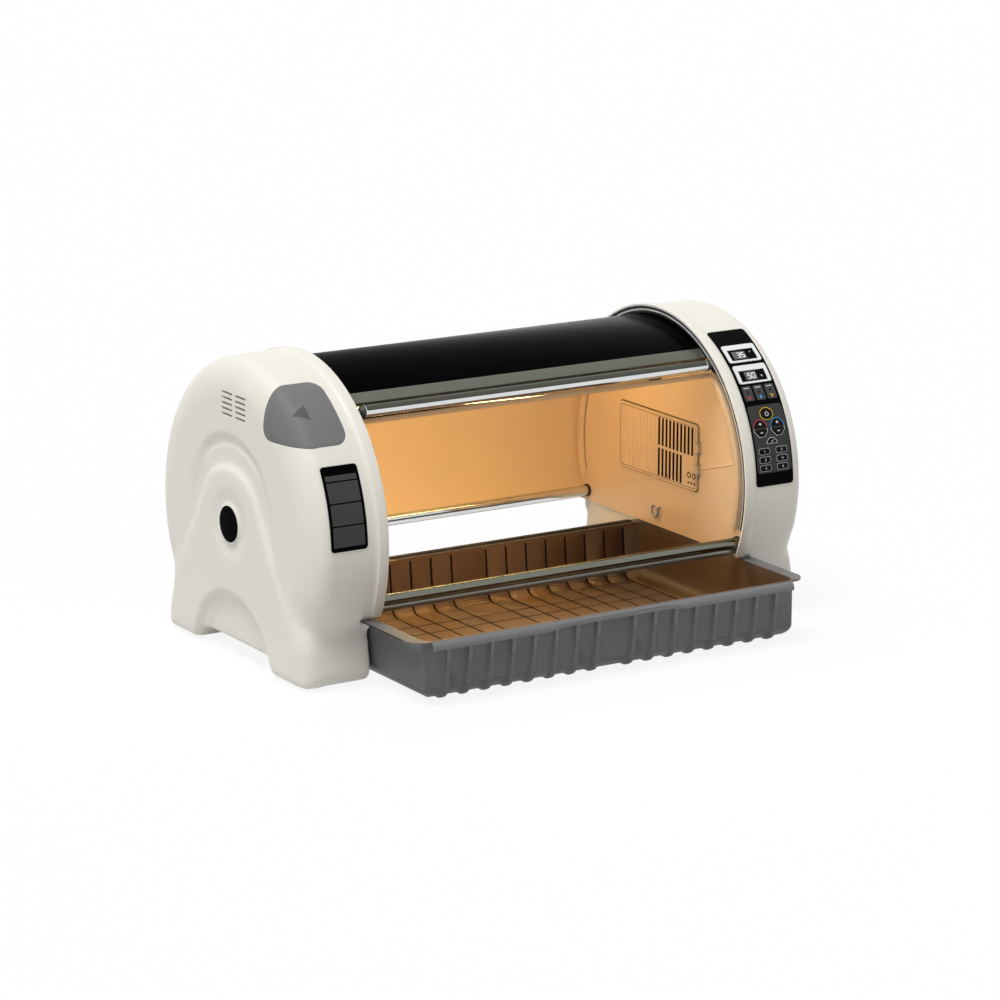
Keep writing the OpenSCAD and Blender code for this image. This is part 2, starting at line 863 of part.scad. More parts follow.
// The tray's trough, grown outwards from its outer face
module trough(grow, top) {
    r = tray_round + grow;
    x = tray_half + grow;
    y0 = -tray_front - grow;
    y1 = tray_back + grow;
    intersection() {
        along_x(-x - over, x + over) trough2d(y0, y1, tray_low - grow, top, tray_slope, r);
        along_y(y0 - over, y1 + over) trough2d(-x, x, tray_low - grow, top, side_slope, r);
        translate([0, 0, tray_low - grow - over]) linear_extrude(top)
            rounded2d(-x - over, x + over, y0 - over, y1 + over, tray_corner + grow + over);
    }
}

// One slice of the trough for each rib
module ribs(grow, width) {
    top = flange_low - tray_t;
    for (s = [-1, 1], i = [0:rib_count - 1]) {
        x = s * (rib_middle / 2 + i * rib_pitch);
        along_x(x - width / 2, x + width / 2)
            trough2d(-tray_front - grow, tray_back + grow, tray_low - grow, top, tray_slope,
                tray_round + grow);
    }
}

module lip2d(grow) {
    y = -tray_front - lip_reach;
    r = lip_r - grow;
    intersection() {
        union() {
            translate([y + lip_r, rim_h - lip_r]) circle(r);
            translate([y + grow, rim_h - lip_h]) square([lip_r - grow, lip_h - lip_r]);
            translate([y + lip_r, rim_h - lip_h]) square([lip_r, lip_h - grow]);
        }
        translate([y, rim_h - lip_h]) square([lip_reach, lip_h]);
    }
}

module tray_solid() {
    trough(0, rim_h);
    ribs(rib_h, rib_w);
    translate([0, 0, flange_low]) linear_extrude(tray_t)
        rounded2d(-flange_half, flange_half, -tray_front, tray_back + back_flange, tray_corner);
    along_x(lip_end - tray_half, tray_half - lip_end) lip2d(0);
}

module tray() {
    floor_z = tray_low + tray_t;
    depth = tray_front + tray_back;
    color("dimgray") on_table() difference() {
        tray_solid();
        trough(-tray_t, rim_h + over);
        ribs(rib_h - tray_t, rib_w - tray_t);
        along_x(lip_end - tray_half - over, tray_half - lip_end + over) difference() {
            lip2d(tray_t);
            translate([-tray_front, 0]) square([tray_front, rim_h]);
        }
        for (s = groove_shares) translate([0, s * depth - tray_front, 0])
            box(-tray_half + tray_round * 2, tray_half - tray_round * 2, -groove_w / 2, groove_w / 2,
                floor_z - groove_h, floor_z + over);
    }
}

// Door

module door_panel() {
    color("azure", 0.4) at_axis()
        around([door_low, door_low + door_arc]) band2d(door_in, door_r, -door_half, door_half);
}

module handle_bar(r) {
    half = half_clear - handle_gap - r;
    at_polar(handle_d, handle_a) {
        rod_x(r, -half, half);
        for (s = [-1, 1]) translate([s * half, 0, 0]) sphere(r);
    }
}

module door_handle() {
    color("silver") at_axis() handle_bar(handle_r);
}

module handle_mounts() {
    half = half_clear - handle_gap - handle_r;
    color("dimgray") at_axis() difference() {
        for (s = mount_shares) on_drum(handle_a, s * half, door_r)
            translate([-mount_w / 2, -mount_d / 2, 0])
                cube([mount_w, mount_d, handle_d - door_r - handle_r / 3]);
        at_polar(handle_d, handle_a) rod_x(handle_r, -half, half);
    }
}

module door_rail() {
    half = door_half - run_gap;
    color("dimgray") at_axis() around([door_low - rail_arc, door_low]) band2d(shoe_in, shoe_out, -half, half);
}

module door_shoes() {
    top = door_low + door_arc - shoe_arc;
    color("whitesmoke") at_axis() both_ends() for (a = [door_low, top])
        around([a, a + shoe_arc]) band2d(shoe_in, shoe_out, door_half, door_half + shoe_w);
}

// Grille

module grille_slots(count, y0, step, z0, z1, x0, x1) {
    for (i = [0:count - 1]) translate([0, y0 + (i + 0.5) * step, 0])
        box(x0, x1, -slot_w / 2, slot_w / 2, z0, z1);
}

module grille_door() {
    x1 = wall_x - seat_gap;
    x0 = x1 - grille_t;
    half_w = grille_w / 2;
    half_h = grille_h / 2;
    short = floor(slot_count / 3);
    color("burlywood") at_axis() {
        translate([0, -grille_shift, grille_up]) difference() {
            along_x(x0, x1) rounded2d(-half_w, half_w, -half_h, half_h, grille_round);
            grille_slots(slot_count, -slot_count * slot_pitch, slot_pitch, rail_h / 2, half_h - frame_w,
                x0 - over, x1 + over);
            grille_slots(slot_count - short, (short - slot_count) * slot_pitch, slot_pitch,
                frame_w - half_h, -rail_h / 2, x0 - over, x1 + over);
            for (z = [[rail_h / 2, half_h - frame_w], [frame_w - half_h, -rail_h / 2]])
                grille_slots(slot_count, 0, slot_pitch, z[0], z[1], x0 - over, x0 + blind_h);
        }
        for (s = [-1, 1]) difference() {
            translate([0, 0, grille_up + s * hinge_half - knuckle_len / 2]) union() {
                translate([hinge_x, hinge_y, 0]) cylinder(r = knuckle_r, h = knuckle_len);
                box(hinge_x + pin_r + pin_gap, x1, hinge_y, frame_w - half_w - grille_shift, 0, knuckle_len);
            }
            translate([hinge_x, hinge_y, grille_up + s * hinge_half - knuckle_len])
                cylinder(r = pin_r + pin_gap, h = 2 * knuckle_len);
        }
    }
}

module grille_pins() {
    gap = run_gap + knuckle_len / 2;
    color("silver") at_axis() for (s = [-1, 1]) translate([0, 0, grille_up + s * hinge_half]) {
        translate([hinge_x, hinge_y, -gap - lug_t]) cylinder(r = pin_r, h = 2 * (gap + lug_t));
        for (z = [-gap - lug_t, gap])
            box(hinge_x - pin_r, wall_x, hinge_y - pin_r * 2, hinge_y + pin_r, z, z + lug_t);
    }
}

module sensor_hook() {
    bend = hook_r - wire_r;
    x = wall_x - track_h;
    z = wall_low - axis_h + hook_r * hook_up_share;
    color("silver") at_axis() translate([x, 0, z]) {
        rotate([90, 0, 90]) rotate([0, 0, 180])
            rotate_extrude(angle = 180) translate([bend, 0]) circle(wire_r);
        for (s = [-1, 1]) translate([0, s * bend, 0]) {
            cylinder(r = wire_r, h = bend);
            translate([0, 0, bend]) rod_x(wire_r, 0, track_h);
            translate([0, 0, bend]) sphere(wire_r);
        }
    }
}

// Lamp

module lamp_holder() {
    color("lightgray") at_axis() on_drum(lamp_a, 0, lamp_r)
        translate([-cover_half, -lamp_w / 2, 0]) cube([2 * cover_half, lamp_w, lamp_h]);
}

module lamp_strip() {
    half = half_clear - lamp_w;
    color("orange") at_axis() on_drum(lamp_a, 0, lamp_r - glow_h)
        translate([-half, glow_h / 2 - lamp_w / 2, 0]) cube([2 * half, lamp_w - glow_h, glow_h]);
}

// Left housing's fittings

module service_cover() {
    color("gray") at_axis() intersection() {
        skin(seat_gap * 2, service_t - seat_gap);
        service_zone(0);
    }
}

module on_tank(up) {
    at_axis() on_drum(service_mid, -wall_back - seat_gap - tank_w / 2, track_r - tank_h + up) children();
}

module water_tank() {
    color("lightblue", 0.6) on_tank(0) {
        translate([-tank_w / 2, -tank_d / 2, 0]) cube([tank_w, tank_d, tank_h]);
        translate([0, 0, tank_h]) cylinder(r = cap_r * neck_share, h = cap_h / 2);
    }
}

module tank_cap() {
    color("white") on_tank(tank_h + cap_h / 2) cylinder(r = cap_r, h = cap_h);
}

module mist_maker() {
    color("slategray") on_tank(-cap_h * 2) cylinder(r = cap_r * mist_share, h = cap_h * 2);
}

module hub_discs() {
    color("black") at_axis() both_ends() rod_x(hub_r, -end_x - hub_t, -end_x);
}

module info_plate() {
    x = half_clear + label_set;
    color("black") at_axis() around(label_span)
        band2d(drum_r + seat_gap, drum_r + seat_gap + label_t, x, x + label_len);
}

// Control panel

module panel_band(span, r, t, set) {
    around(span) band2d(r, r + t, panel_x + set, panel_x + panel_len - set);
}

module panel_overlay() {
    color("black") at_axis() difference() {
        on_right() panel_band(panel_span, drum_r + seat_gap, panel_t - seat_gap, 0);
        key_holes();
    }
}

module keypad() {
    color("gray") at_axis() difference() {
        on_right() panel_band(keypad_span, keypad_r, keypad_t, keypad_set);
        key_holes();
    }
}

module display_bezels() {
    color("whitesmoke") at_axis() on_right() for (i = [0, 1]) difference() {
        panel_band(bezel_spans[i], keypad_r, bezel_h, bezel_set);
        panel_band(window_spans[i], keypad_r - over, bezel_h + 2 * over, window_set);
    }
}

module lcd_screens() {
    color("black") at_axis() on_right()
        for (i = [0, 1]) panel_band(window_spans[i], keypad_r, lcd_t, window_set);
}

module indicator_cells() {
    x = panel_mid - 1.5 * cell_pitch + (cell_pitch - cell_w) / 2;
    color("dimgray") at_axis() on_right() for (i = [0:2])
        around(cell_span) translate([keypad_r, x + i * cell_pitch]) square([cell_t, cell_w]);
}

module indicator_lights() {
    color("maroon") at_axis() for (i = [-1:1])
        on_drum(light_a, panel_mid + i * cell_pitch, keypad_r + cell_t) cylinder(r = light_r, h = light_h);
}

// Keys

// Pointed outline standing on its base line
module point2d(w, h, gap) {
    polygon([
        [-w - gap, -gap], [-w - gap, h * side_share], [-w * top_share - gap / 2, h + gap],
        [w * top_share + gap / 2, h + gap], [w + gap, h * side_share], [w + gap, -gap]
    ]);
}

module power2d(gap) {
    polygon([for (i = [0:7]) [
        (power_w + gap) * cos(i * 45 + 22.5) / cos(22.5), (power_h + gap) * sin(i * 45 + 22.5) / cos(22.5)
    ]]);
}

module small2d(gap) {
    square([small_w + 2 * gap, small_h + 2 * gap], center = true);
}

module key_stem(a, x, low, top) {
    on_drum(a, x, low) linear_extrude(top - low) children();
}

module power_stem(gap, low, top) {
    key_stem(power_a, panel_x + confirm_share * panel_len, low, top) power2d(gap);
}

module point_stem(col, down, gap, low, top) {
    key_stem(point_base[down], panel_x + column_shares[col] * panel_len, low, top)
        mirror([0, down, 0]) point2d(point_w, point_h, gap);
}

module confirm_stem(gap, low, top) {
    key_stem(confirm_a, panel_x + confirm_share * panel_len, low, top)
        point2d(confirm_w, confirm_h, gap);
}

module small_stem(i, gap, low, top) {
    key_stem(small_rows[floor(i / 2)], panel_x + column_shares[i % 2] * panel_len, low, top)
        small2d(gap);
}

module key_holes() {
    low = drum_r - over;
    top = key_top + over;
    power_stem(key_gap, low, top);
    confirm_stem(key_gap, low, top);
    for (c = [0, 1], d = [0, 1]) point_stem(c, d, key_gap, low, top);
    for (i = [0:5]) small_stem(i, key_gap, low, top);
}

module power_key() { color("black") at_axis() power_stem(0, key_low, key_top); }

module temp_up_key() { color("black") at_axis() point_stem(0, 0, 0, key_low, key_top); }

module temp_down_key() { color("black") at_axis() point_stem(0, 1, 0, key_low, key_top); }

module humidity_up_key() { color("black") at_axis() point_stem(1, 0, 0, key_low, key_top); }

module humidity_down_key() { color("black") at_axis() point_stem(1, 1, 0, key_low, key_top); }

module confirm_key() { color("black") at_axis() confirm_stem(0, key_low, key_top); }

module small_key(i) { color("black") at_axis() small_stem(i, 0, key_low, key_top); }

// Inside the right housing

module control_board() {
    a = (keypad_span[0] + panel_span[1]) / 2;
    face = sqrt(pow(cavity_r, 2) - pow(board_h / 2, 2)) - board_t - seat_gap;
    color("darkgreen") at_axis() on_drum(a, panel_mid, face)
        translate([-board_w / 2, -board_h / 2, 0]) cube([board_w, board_h, board_t]);
}

module at_fan() {
    at_axis() translate([wall_back, fan_y, grille_up]) children();
}

module fan_shroud() {
    spoke = shroud_len / 4;
    wall = shroud_r / 12;
    color("dimgray") at_fan() union() {
        difference() {
            union() {
                rod_x(shroud_r, 0, shroud_len);
                box(0, spoke / 2, -spoke, spoke, -grille_h / 2, grille_h / 2);
            }
            rod_x(shroud_r - wall, -over, shroud_len + over);
        }
        difference() {
            for (a = [60, 180, 300]) rotate([a, 0, 0])
                box(shroud_len - spoke, shroud_len - spoke / 2, -spoke / 2, spoke / 2,
                    0, shroud_r - wall / 2);
            rod_x(motor_r + seat_gap, 0, shroud_len + over);
        }
    }
}

module fan_motor() {
    color("gray") at_fan() {
        rod_x(motor_r, shroud_len * motor_shares[0], shroud_len * motor_shares[1]);
        rod_x(shaft_r, shroud_len * shaft_share, shroud_len * motor_shares[0]);
    }
}

module fan_impeller() {
    hub_len = shroud_len * hub_share;
    hub_at = shroud_len * hub_at_share;
    color("black") at_fan() translate([hub_at, 0, 0]) difference() {
        union() {
            rod_x(motor_r, 0, hub_len);
            intersection() {
                rod_x(shroud_r * tip_share, 0, hub_len);
                for (i = [0:blade_count - 1]) rotate([i * 360 / blade_count, 0, 0])
                    translate([hub_len / 2, 0, motor_r * root_share]) rotate([0, 0, blade_a])
                        box(-hub_len, hub_len, -shaft_r / 3, shaft_r / 3, 0, shroud_r);
            }
        }
        rod_x(shaft_r + pin_gap, -over, hub_len + over);
    }
}

module heater() {
    base = heater_d / 5;
    step = heater_w / fin_count;
    color("silver") at_axis() translate([wall_back, heater_y, grille_up]) {
        box(0, base, -heater_w / 2, heater_w / 2, -grille_h / 2, grille_h / 2);
        for (i = [0:fin_count - 1]) translate([0, (i + 0.5) * step - heater_w / 2, 0])
            box(base, heater_d, -step / 6, step / 6, -heater_h / 2, heater_h / 2);
    }
}

module air_filter() {
    w = 2 * vent_len + vent_gap;
    h = (vent_rows - 1) * vent_pitch + vent_w;
    x = cavity_end - shell_t / 3;
    color("lightgray") at_axis() translate([0, -vent_shift, vent_up - (vent_pitch - vent_w) / 2])
        box(x - shell_t, x, -w / 2, w / 2, -h / 2, h / 2);
}

module inlet_box(gap, x0) {
    y = dish_r + dish_edge + inlet_w * inlet_share;
    translate([0, y, axis_h / 4])
        box(x0, end_face, -inlet_w / 2 - gap, inlet_w / 2 + gap, -inlet_h / 2 - gap, inlet_h / 2 + gap);
}

module inlet_cut(gap) {
    inlet_box(gap, end_face - inlet_d - shell_t);
    translate([over, 0, 0]) inlet_box(gap, end_face - inlet_d);
}

module power_inlet() {
    y = dish_r + dish_edge + inlet_w * inlet_share;
    pocket = inlet_d * socket_share;
    color("black") at_axis() difference() {
        inlet_box(0, end_face - inlet_d);
        translate([0, y, axis_h / 4])
            box(end_face - pocket, end_x, shell_t - inlet_w / 2, inlet_w / 2 - shell_t,
                shell_t - inlet_h / 2, inlet_h / 2 - shell_t);
    }
}

module rubber_feet() {
    x = (block_x + end_x) / 2;
    y = (foot_inner + foot_reach - foot_round) / 2;
    color("black") on_table() both_ends() for (s = [-1, 1])
        translate([-x, s * y, 0]) cylinder(r = pad_r, h = pad_h);
}

left_housing();
right_housing();
left_wall();
right_wall();
door_tracks();
rim_gaskets();
rim_rings();
top_cover();
cover_liner();
top_trim();
front_rod();
back_rod();
rod_collars();
rod_bolts();
front_sill();
tray_runners();
tray();
door_panel();
door_handle();
handle_mounts();
door_rail();
door_shoes();
grille_door();
grille_pins();
sensor_hook();
lamp_holder();
lamp_strip();
service_cover();
water_tank();
tank_cap();
mist_maker();
hub_discs();
info_plate();
panel_overlay();
display_bezels();
lcd_screens();
indicator_cells();
indicator_lights();
keypad();
power_key();
temp_up_key();
temp_down_key();
humidity_up_key();
humidity_down_key();
confirm_key();
small_key(0);  // small_key_1
small_key(1);  // small_key_2
small_key(2);  // small_key_3
small_key(3);  // small_key_4
small_key(4);  // small_key_5
small_key(5);  // small_key_6
control_board();
fan_shroud();
fan_motor();
fan_impeller();
heater();
power_inlet();
air_filter();
rubber_feet();
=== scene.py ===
import json
import math

import bmesh
import bpy
import numpy as np
from mathutils import Matrix, Vector

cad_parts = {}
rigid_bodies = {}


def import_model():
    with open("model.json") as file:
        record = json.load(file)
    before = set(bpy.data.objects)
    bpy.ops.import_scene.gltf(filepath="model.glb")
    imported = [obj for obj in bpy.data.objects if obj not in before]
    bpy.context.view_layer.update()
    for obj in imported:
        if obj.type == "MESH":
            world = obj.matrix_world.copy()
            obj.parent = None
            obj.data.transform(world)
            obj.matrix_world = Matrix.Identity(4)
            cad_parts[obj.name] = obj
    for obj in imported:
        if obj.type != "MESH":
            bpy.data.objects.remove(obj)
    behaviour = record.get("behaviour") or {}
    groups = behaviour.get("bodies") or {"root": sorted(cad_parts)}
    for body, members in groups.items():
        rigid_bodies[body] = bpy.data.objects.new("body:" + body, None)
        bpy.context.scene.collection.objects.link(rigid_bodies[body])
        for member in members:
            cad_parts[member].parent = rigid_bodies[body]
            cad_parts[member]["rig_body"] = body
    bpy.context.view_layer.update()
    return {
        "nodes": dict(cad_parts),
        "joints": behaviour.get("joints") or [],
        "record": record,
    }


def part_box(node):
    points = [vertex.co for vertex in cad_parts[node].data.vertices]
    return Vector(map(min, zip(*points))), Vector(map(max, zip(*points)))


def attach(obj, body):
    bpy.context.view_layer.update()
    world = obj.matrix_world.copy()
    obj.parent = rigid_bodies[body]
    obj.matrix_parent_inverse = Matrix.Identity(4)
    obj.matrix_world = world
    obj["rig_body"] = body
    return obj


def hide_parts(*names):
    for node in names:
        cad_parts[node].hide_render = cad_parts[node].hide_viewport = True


for leftover in list(bpy.data.objects):
    bpy.data.objects.remove(leftover)
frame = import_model()

bl_info = {
    "name": "Barrel chick brooder",
    "version": (1, 0, 0),
    "blender": (4, 5, 0),
    "location": "3D View > Sidebar > Brooder",
    "description": "Dresses the packed solids of a barrel-shaped chick brooder",
    "category": "Object",
}

MM = 0.001
LEAN = math.radians
SIDES = (("left", -1), ("right", 1))
# The door turns about the barrel axis, so its joint gives the axis' place
AXIS = Vector(next(j["pos_m"] for j in frame["joints"] if j["name"] == "door_swing"))
# Places along x on the right side: the housing's rim, its end face and the inner wall
RIM_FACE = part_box("right_housing")[0].x
END_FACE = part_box("right_housing")[1].x
WALL_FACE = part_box("right_wall")[0].x
# Radii from the barrel axis
DRUM_R = 279 * MM
PANEL_R = 280.2 * MM
KEYPAD_TOP = 281 * MM
KEY_TOP = 282.2 * MM


# ---------------------------------------------------------------- colours and nodes

# Sizes of the patches that hands polish on plastic and smudge on metal
HANDLED_MM, SMUDGE_MM = 24, 35
# Pointiness at which an edge starts to be rubbed and at which it is fully rubbed
WORN_FROM, WORN_TO = 0.52, 0.62


def paint(code):
    """Linear colour of an sRGB hex value."""
    parts = [int(code[i:i + 2], 16) / 255 for i in (0, 2, 4)]
    return tuple(c / 12.92 if c <= 0.04045 else ((c + 0.055) / 1.055) ** 2.4 for c in parts)


def opaque(colour):
    """The colour with full cover."""
    return (*colour[:3], 1.0)


def shade(colour, times):
    """The colour made darker or lighter, with full cover."""
    return (*(min(1.0, c * times) for c in colour[:3]), 1.0)


def add(tree, kind, settings=None, values=None, links=None):
    """Adds one node, with its settings, its sockets' values and its incoming links."""
    node = tree.nodes.new(kind)
    for name, setting in (settings or {}).items():
        setattr(node, name, setting)
    for socket, value in (values or {}).items():
        node.inputs[socket].default_value = value
    for socket, source in (links or {}).items():
        tree.links.new(source, node.inputs[socket])
    return node


def blank_material(name):
    """New material with an empty tree; gives both."""
    material = bpy.data.materials.new(name)
    material.use_nodes = True
    tree = material.node_tree
    tree.nodes.clear()
    return material, tree


def close_material(tree, shader):
    """Ends a material's tree in its shader."""
    add(tree, "ShaderNodeOutputMaterial", links={"Surface": shader.outputs[0]})


def moulded(name, colour, rough, grain_mm=1.6, depth_mm=0.03, clouds_mm=110, cloud=0.03, wear=0.0,
            coat=0.0, glow=0.0, specular=0.5, polish=0.06, tinted=None, pale=None, ior=1.5):
    """Injection-moulded plastic: even colour with slow clouds, a fine eroded grain from the mould,
    gloss that varies a little where hands polish it, and paler worn edges. The real grain is about
    0.1 mm, so it is drawn coarser to show. tinted names a mesh attribute, the warm colour that it
    brings in, and the x where that starts to darken as painted shade and where it is darkest; pale
    gives a y limit and the paler colour in front of it, which is painted light."""
    material, tree = blank_material(name)
    place = add(tree, "ShaderNodeTexCoord")
    clouds = add(tree, "ShaderNodeTexNoise", values={"Scale": 1 / (clouds_mm * MM), "Detail": 2.0},
                 links={"Vector": place.outputs["Object"]})
    tint = add(tree, "ShaderNodeMix", {"data_type": "RGBA"},
               {"A": shade(colour, 1 - cloud), "B": shade(colour, 1 + cloud)},
               {"Factor": clouds.outputs["Fac"]})
    base = tint.outputs["Result"]
    if tinted:
        mark, inner_tint, shade_from_x, full_shade_x = tinted
        where = add(tree, "ShaderNodeAttribute", {"attribute_name": mark})
        spot = add(tree, "ShaderNodeSeparateXYZ", links={"Vector": place.outputs["Object"]})
        along = add(tree, "ShaderNodeMapRange", values={"From Min": shade_from_x, "From Max": full_shade_x},
                    links={"Value": spot.outputs["X"]})
        # The warm colour turns darker along x towards the right end: painted shade
        tint_and_shade = add(tree, "ShaderNodeMix", {"data_type": "RGBA"},
                     {"A": opaque(inner_tint), "B": shade(inner_tint, 0.42)}, {"Factor": along.outputs["Result"]})
        film = add(tree, "ShaderNodeMix", {"data_type": "RGBA"}, links={
            "Factor": where.outputs["Fac"], "A": base, "B": tint_and_shade.outputs["Result"]})
        base = film.outputs["Result"]
    # A paler front: painted light on the tray's lip
    if pale:
        limit, lit_lip = pale
        spot = add(tree, "ShaderNodeSeparateXYZ", links={"Vector": place.outputs["Object"]})
        ahead = add(tree, "ShaderNodeMath", {"operation": "LESS_THAN"}, {1: limit}, {0: spot.outputs["Y"]})
        front = add(tree, "ShaderNodeMix", {"data_type": "RGBA"}, {"B": opaque(lit_lip)},
                    {"Factor": ahead.outputs["Value"], "A": base})
        base = front.outputs["Result"]
    if wear:
        edge = add(tree, "ShaderNodeNewGeometry")
        rubbed = add(tree, "ShaderNodeMapRange",
                     values={"From Min": WORN_FROM, "From Max": WORN_TO, "To Max": wear},
                     links={"Value": edge.outputs["Pointiness"]})
        worn = add(tree, "ShaderNodeMix", {"data_type": "RGBA"}, {"B": shade(colour, 1.35)},
                   {"Factor": rubbed.outputs["Result"], "A": base})
        base = worn.outputs["Result"]
    grain = add(tree, "ShaderNodeTexNoise", values={"Scale": 1 / (grain_mm * MM), "Detail": 3.0},
                links={"Vector": place.outputs["Object"]})
    relief = add(tree, "ShaderNodeBump", values={"Strength": 0.4, "Distance": depth_mm * MM},
                 links={"Height": grain.outputs["Fac"]})
    handled = add(tree, "ShaderNodeTexNoise", values={"Scale": 1 / (HANDLED_MM * MM), "Detail": 4.0},
                  links={"Vector": place.outputs["Object"]})
    gloss = add(tree, "ShaderNodeMapRange",
                values={"To Min": max(0.02, rough - polish), "To Max": rough + polish},
                links={"Value": handled.outputs["Fac"]})
    surface = add(tree, "ShaderNodeBsdfPrincipled",
                  values={"Coat Weight": coat, "Coat Roughness": 0.08, "Specular IOR Level": specular,
                          "IOR": ior},
                  links={"Base Color": base, "Roughness": gloss.outputs["Result"],
                         "Normal": relief.outputs["Normal"]})
    # Emission: the displays' own light; on the walls, liner and rail it is a painted glow of lamp light
    if glow:
        surface.inputs["Emission Color"].default_value = opaque(colour)
        surface.inputs["Emission Strength"].default_value = glow
    close_material(tree, surface)
    return material


def drawn_metal(name, colour, rough, streak_mm, depth_mm, spread=0.05, along=0, metallic=1.0):
    """Drawn, brushed or plated metal: lines along the way it was drawn or polished, and smudges. The
    lines are given by their length and width; real ones are finer, so they are drawn wider to show."""
    material, tree = blank_material(name)
    place = add(tree, "ShaderNodeTexCoord")
    length, width = (size * MM for size in streak_mm)
    scales = [1 / width] * 3
    scales[along] = 1 / length
    lines = add(tree, "ShaderNodeMapping", values={"Scale": scales},
                links={"Vector": place.outputs["Object"]})
    streaks = add(tree, "ShaderNodeTexNoise", values={"Scale": 1.0, "Detail": 2.0},
                  links={"Vector": lines.outputs["Vector"]})
    smudges = add(tree, "ShaderNodeTexNoise", values={"Scale": 1 / (SMUDGE_MM * MM), "Detail": 3.0},
                  links={"Vector": place.outputs["Object"]})
    mixed = add(tree, "ShaderNodeMath", {"operation": "MULTIPLY"},
                links={0: streaks.outputs["Fac"], 1: smudges.outputs["Fac"]})
    gloss = add(tree, "ShaderNodeMapRange",
                values={"From Max": 0.5, "To Min": max(0.02, rough - spread / 2), "To Max": rough + spread},
                links={"Value": mixed.outputs["Value"]})
    relief = add(tree, "ShaderNodeBump", values={"Strength": 0.25, "Distance": depth_mm * MM},
                 links={"Height": streaks.outputs["Fac"]})
    tint = add(tree, "ShaderNodeMix", {"data_type": "RGBA"},
               {"A": shade(colour, 0.94), "B": shade(colour, 1.05)}, {"Factor": smudges.outputs["Fac"]})
    surface = add(tree, "ShaderNodeBsdfPrincipled", values={"Metallic": metallic},
                  links={"Base Color": tint.outputs["Result"], "Roughness": gloss.outputs["Result"],
                         "Normal": relief.outputs["Normal"]})
    close_material(tree, surface)
    return material


def clear_sheet(name, colour):
    """Cast acrylic sheet: clear, faintly warm, with wiping haze."""
    material, tree = blank_material(name)
    place = add(tree, "ShaderNodeTexCoord")
    haze = add(tree, "ShaderNodeTexNoise", values={"Scale": 1 / (50 * MM), "Detail": 5.0},
               links={"Vector": place.outputs["Object"]})
    gloss = add(tree, "ShaderNodeMapRange", values={"From Min": 0.45, "From Max": 0.8, "To Max": 0.08},
                links={"Value": haze.outputs["Fac"]})
    surface = add(tree, "ShaderNodeBsdfPrincipled",
                  values={"Base Color": opaque(colour), "IOR": 1.49, "Transmission Weight": 1.0},
                  links={"Roughness": gloss.outputs["Result"]})
    close_material(tree, surface)
    return material


def lamp_glow(name, colour, strength):
    """Frosted diffuser of a heat lamp: hottest at its left end, with faint dots of the lamps behind."""
    material, tree = blank_material(name)
    place = add(tree, "ShaderNodeTexCoord")
    dots = add(tree, "ShaderNodeTexNoise", values={"Scale": 1 / (28 * MM), "Detail": 1.0},
               links={"Vector": place.outputs["Object"]})
    tint = add(tree, "ShaderNodeMix", {"data_type": "RGBA"},
               {"A": shade(colour, 0.85), "B": shade(colour, 1.1)}, {"Factor": dots.outputs["Fac"]})
    spot = add(tree, "ShaderNodeSeparateXYZ", links={"Vector": place.outputs["Object"]})
    low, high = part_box("lamp_strip")
    heat = add(tree, "ShaderNodeMapRange",
               values={"From Min": low.x, "From Max": high.x, "To Min": strength * 1.7,
                       "To Max": strength * 0.4},
               links={"Value": spot.outputs["X"]})
    surface = add(tree, "ShaderNodeBsdfPrincipled", values={"Roughness": 0.5}, links={
        "Base Color": tint.outputs["Result"], "Emission Color": tint.outputs["Result"],
        "Emission Strength": heat.outputs["Result"]})
    close_material(tree, surface)
    return material


def fibre(name, colour):
    """Non-woven fleece: matted fibres thinner than 0.1 mm, drawn coarser so that they show."""
    material, tree = blank_material(name)
    place = add(tree, "ShaderNodeTexCoord")
    felt = add(tree, "ShaderNodeTexNoise",
               values={"Scale": 1 / (1.5 * MM), "Detail": 6.0, "Distortion": 1.5},
               links={"Vector": place.outputs["Object"]})
    tint = add(tree, "ShaderNodeMix", {"data_type": "RGBA"},
               {"A": shade(colour, 0.75), "B": shade(colour, 1.05)}, {"Factor": felt.outputs["Fac"]})
    relief = add(tree, "ShaderNodeBump", values={"Strength": 0.8, "Distance": 0.4 * MM},
                 links={"Height": felt.outputs["Fac"]})
    surface = add(tree, "ShaderNodeBsdfPrincipled", values={"Roughness": 0.95, "Sheen Weight": 0.3},
                  links={"Base Color": tint.outputs["Result"], "Normal": relief.outputs["Normal"]})
    close_material(tree, surface)
    return material


# ---------------------------------------------------------------- places and meshes

# Points closer than this are one point
MERGE = 1e-6


def around(x, r, a):
    """Point at x along the barrel, r from its axis and a degrees up from the front."""
    return Vector((x, AXIS.y - r * math.cos(LEAN(a)), AXIS.z + r * math.sin(LEAN(a))))


def on_drum(u, v, w, x, a, r):
    """A flat drawing's point (u along, v up, w out) laid round the drum at x, a and r."""
    return around(x + u, r + w, a + math.degrees(v / r))


def on_key(u, v, w, x, a, r):
    """A flat drawing's point on the tangent plane at x, a and r."""
    out = Vector((0, -math.cos(LEAN(a)), math.sin(LEAN(a))))
    up = Vector((0, math.sin(LEAN(a)), math.cos(LEAN(a))))
    return Vector((x + u, AXIS.y, AXIS.z)) + out * (r + w) + up * v


def eased(values, start, end):
    """0 before start, 1 after end and a soft S between them; end may lie before start."""
    t = np.clip((values - start) / (end - start), 0, 1)
    return t * t * (3 - 2 * t)


def rounded_box_points(width, height, corner, steps=6):
    """Outline of a centred rectangle with rounded corners, each in a number of steps."""
    points = []
    for cx, cy, start in ((1, 1, 0), (-1, 1, 90), (-1, -1, 180), (1, -1, 270)):
        for i in range(steps + 1):
            a = LEAN(start + 90 * i / steps)
            points.append((cx * (width / 2 - corner) + corner * math.cos(a),
                           cy * (height / 2 - corner) + corner * math.sin(a)))
    return points


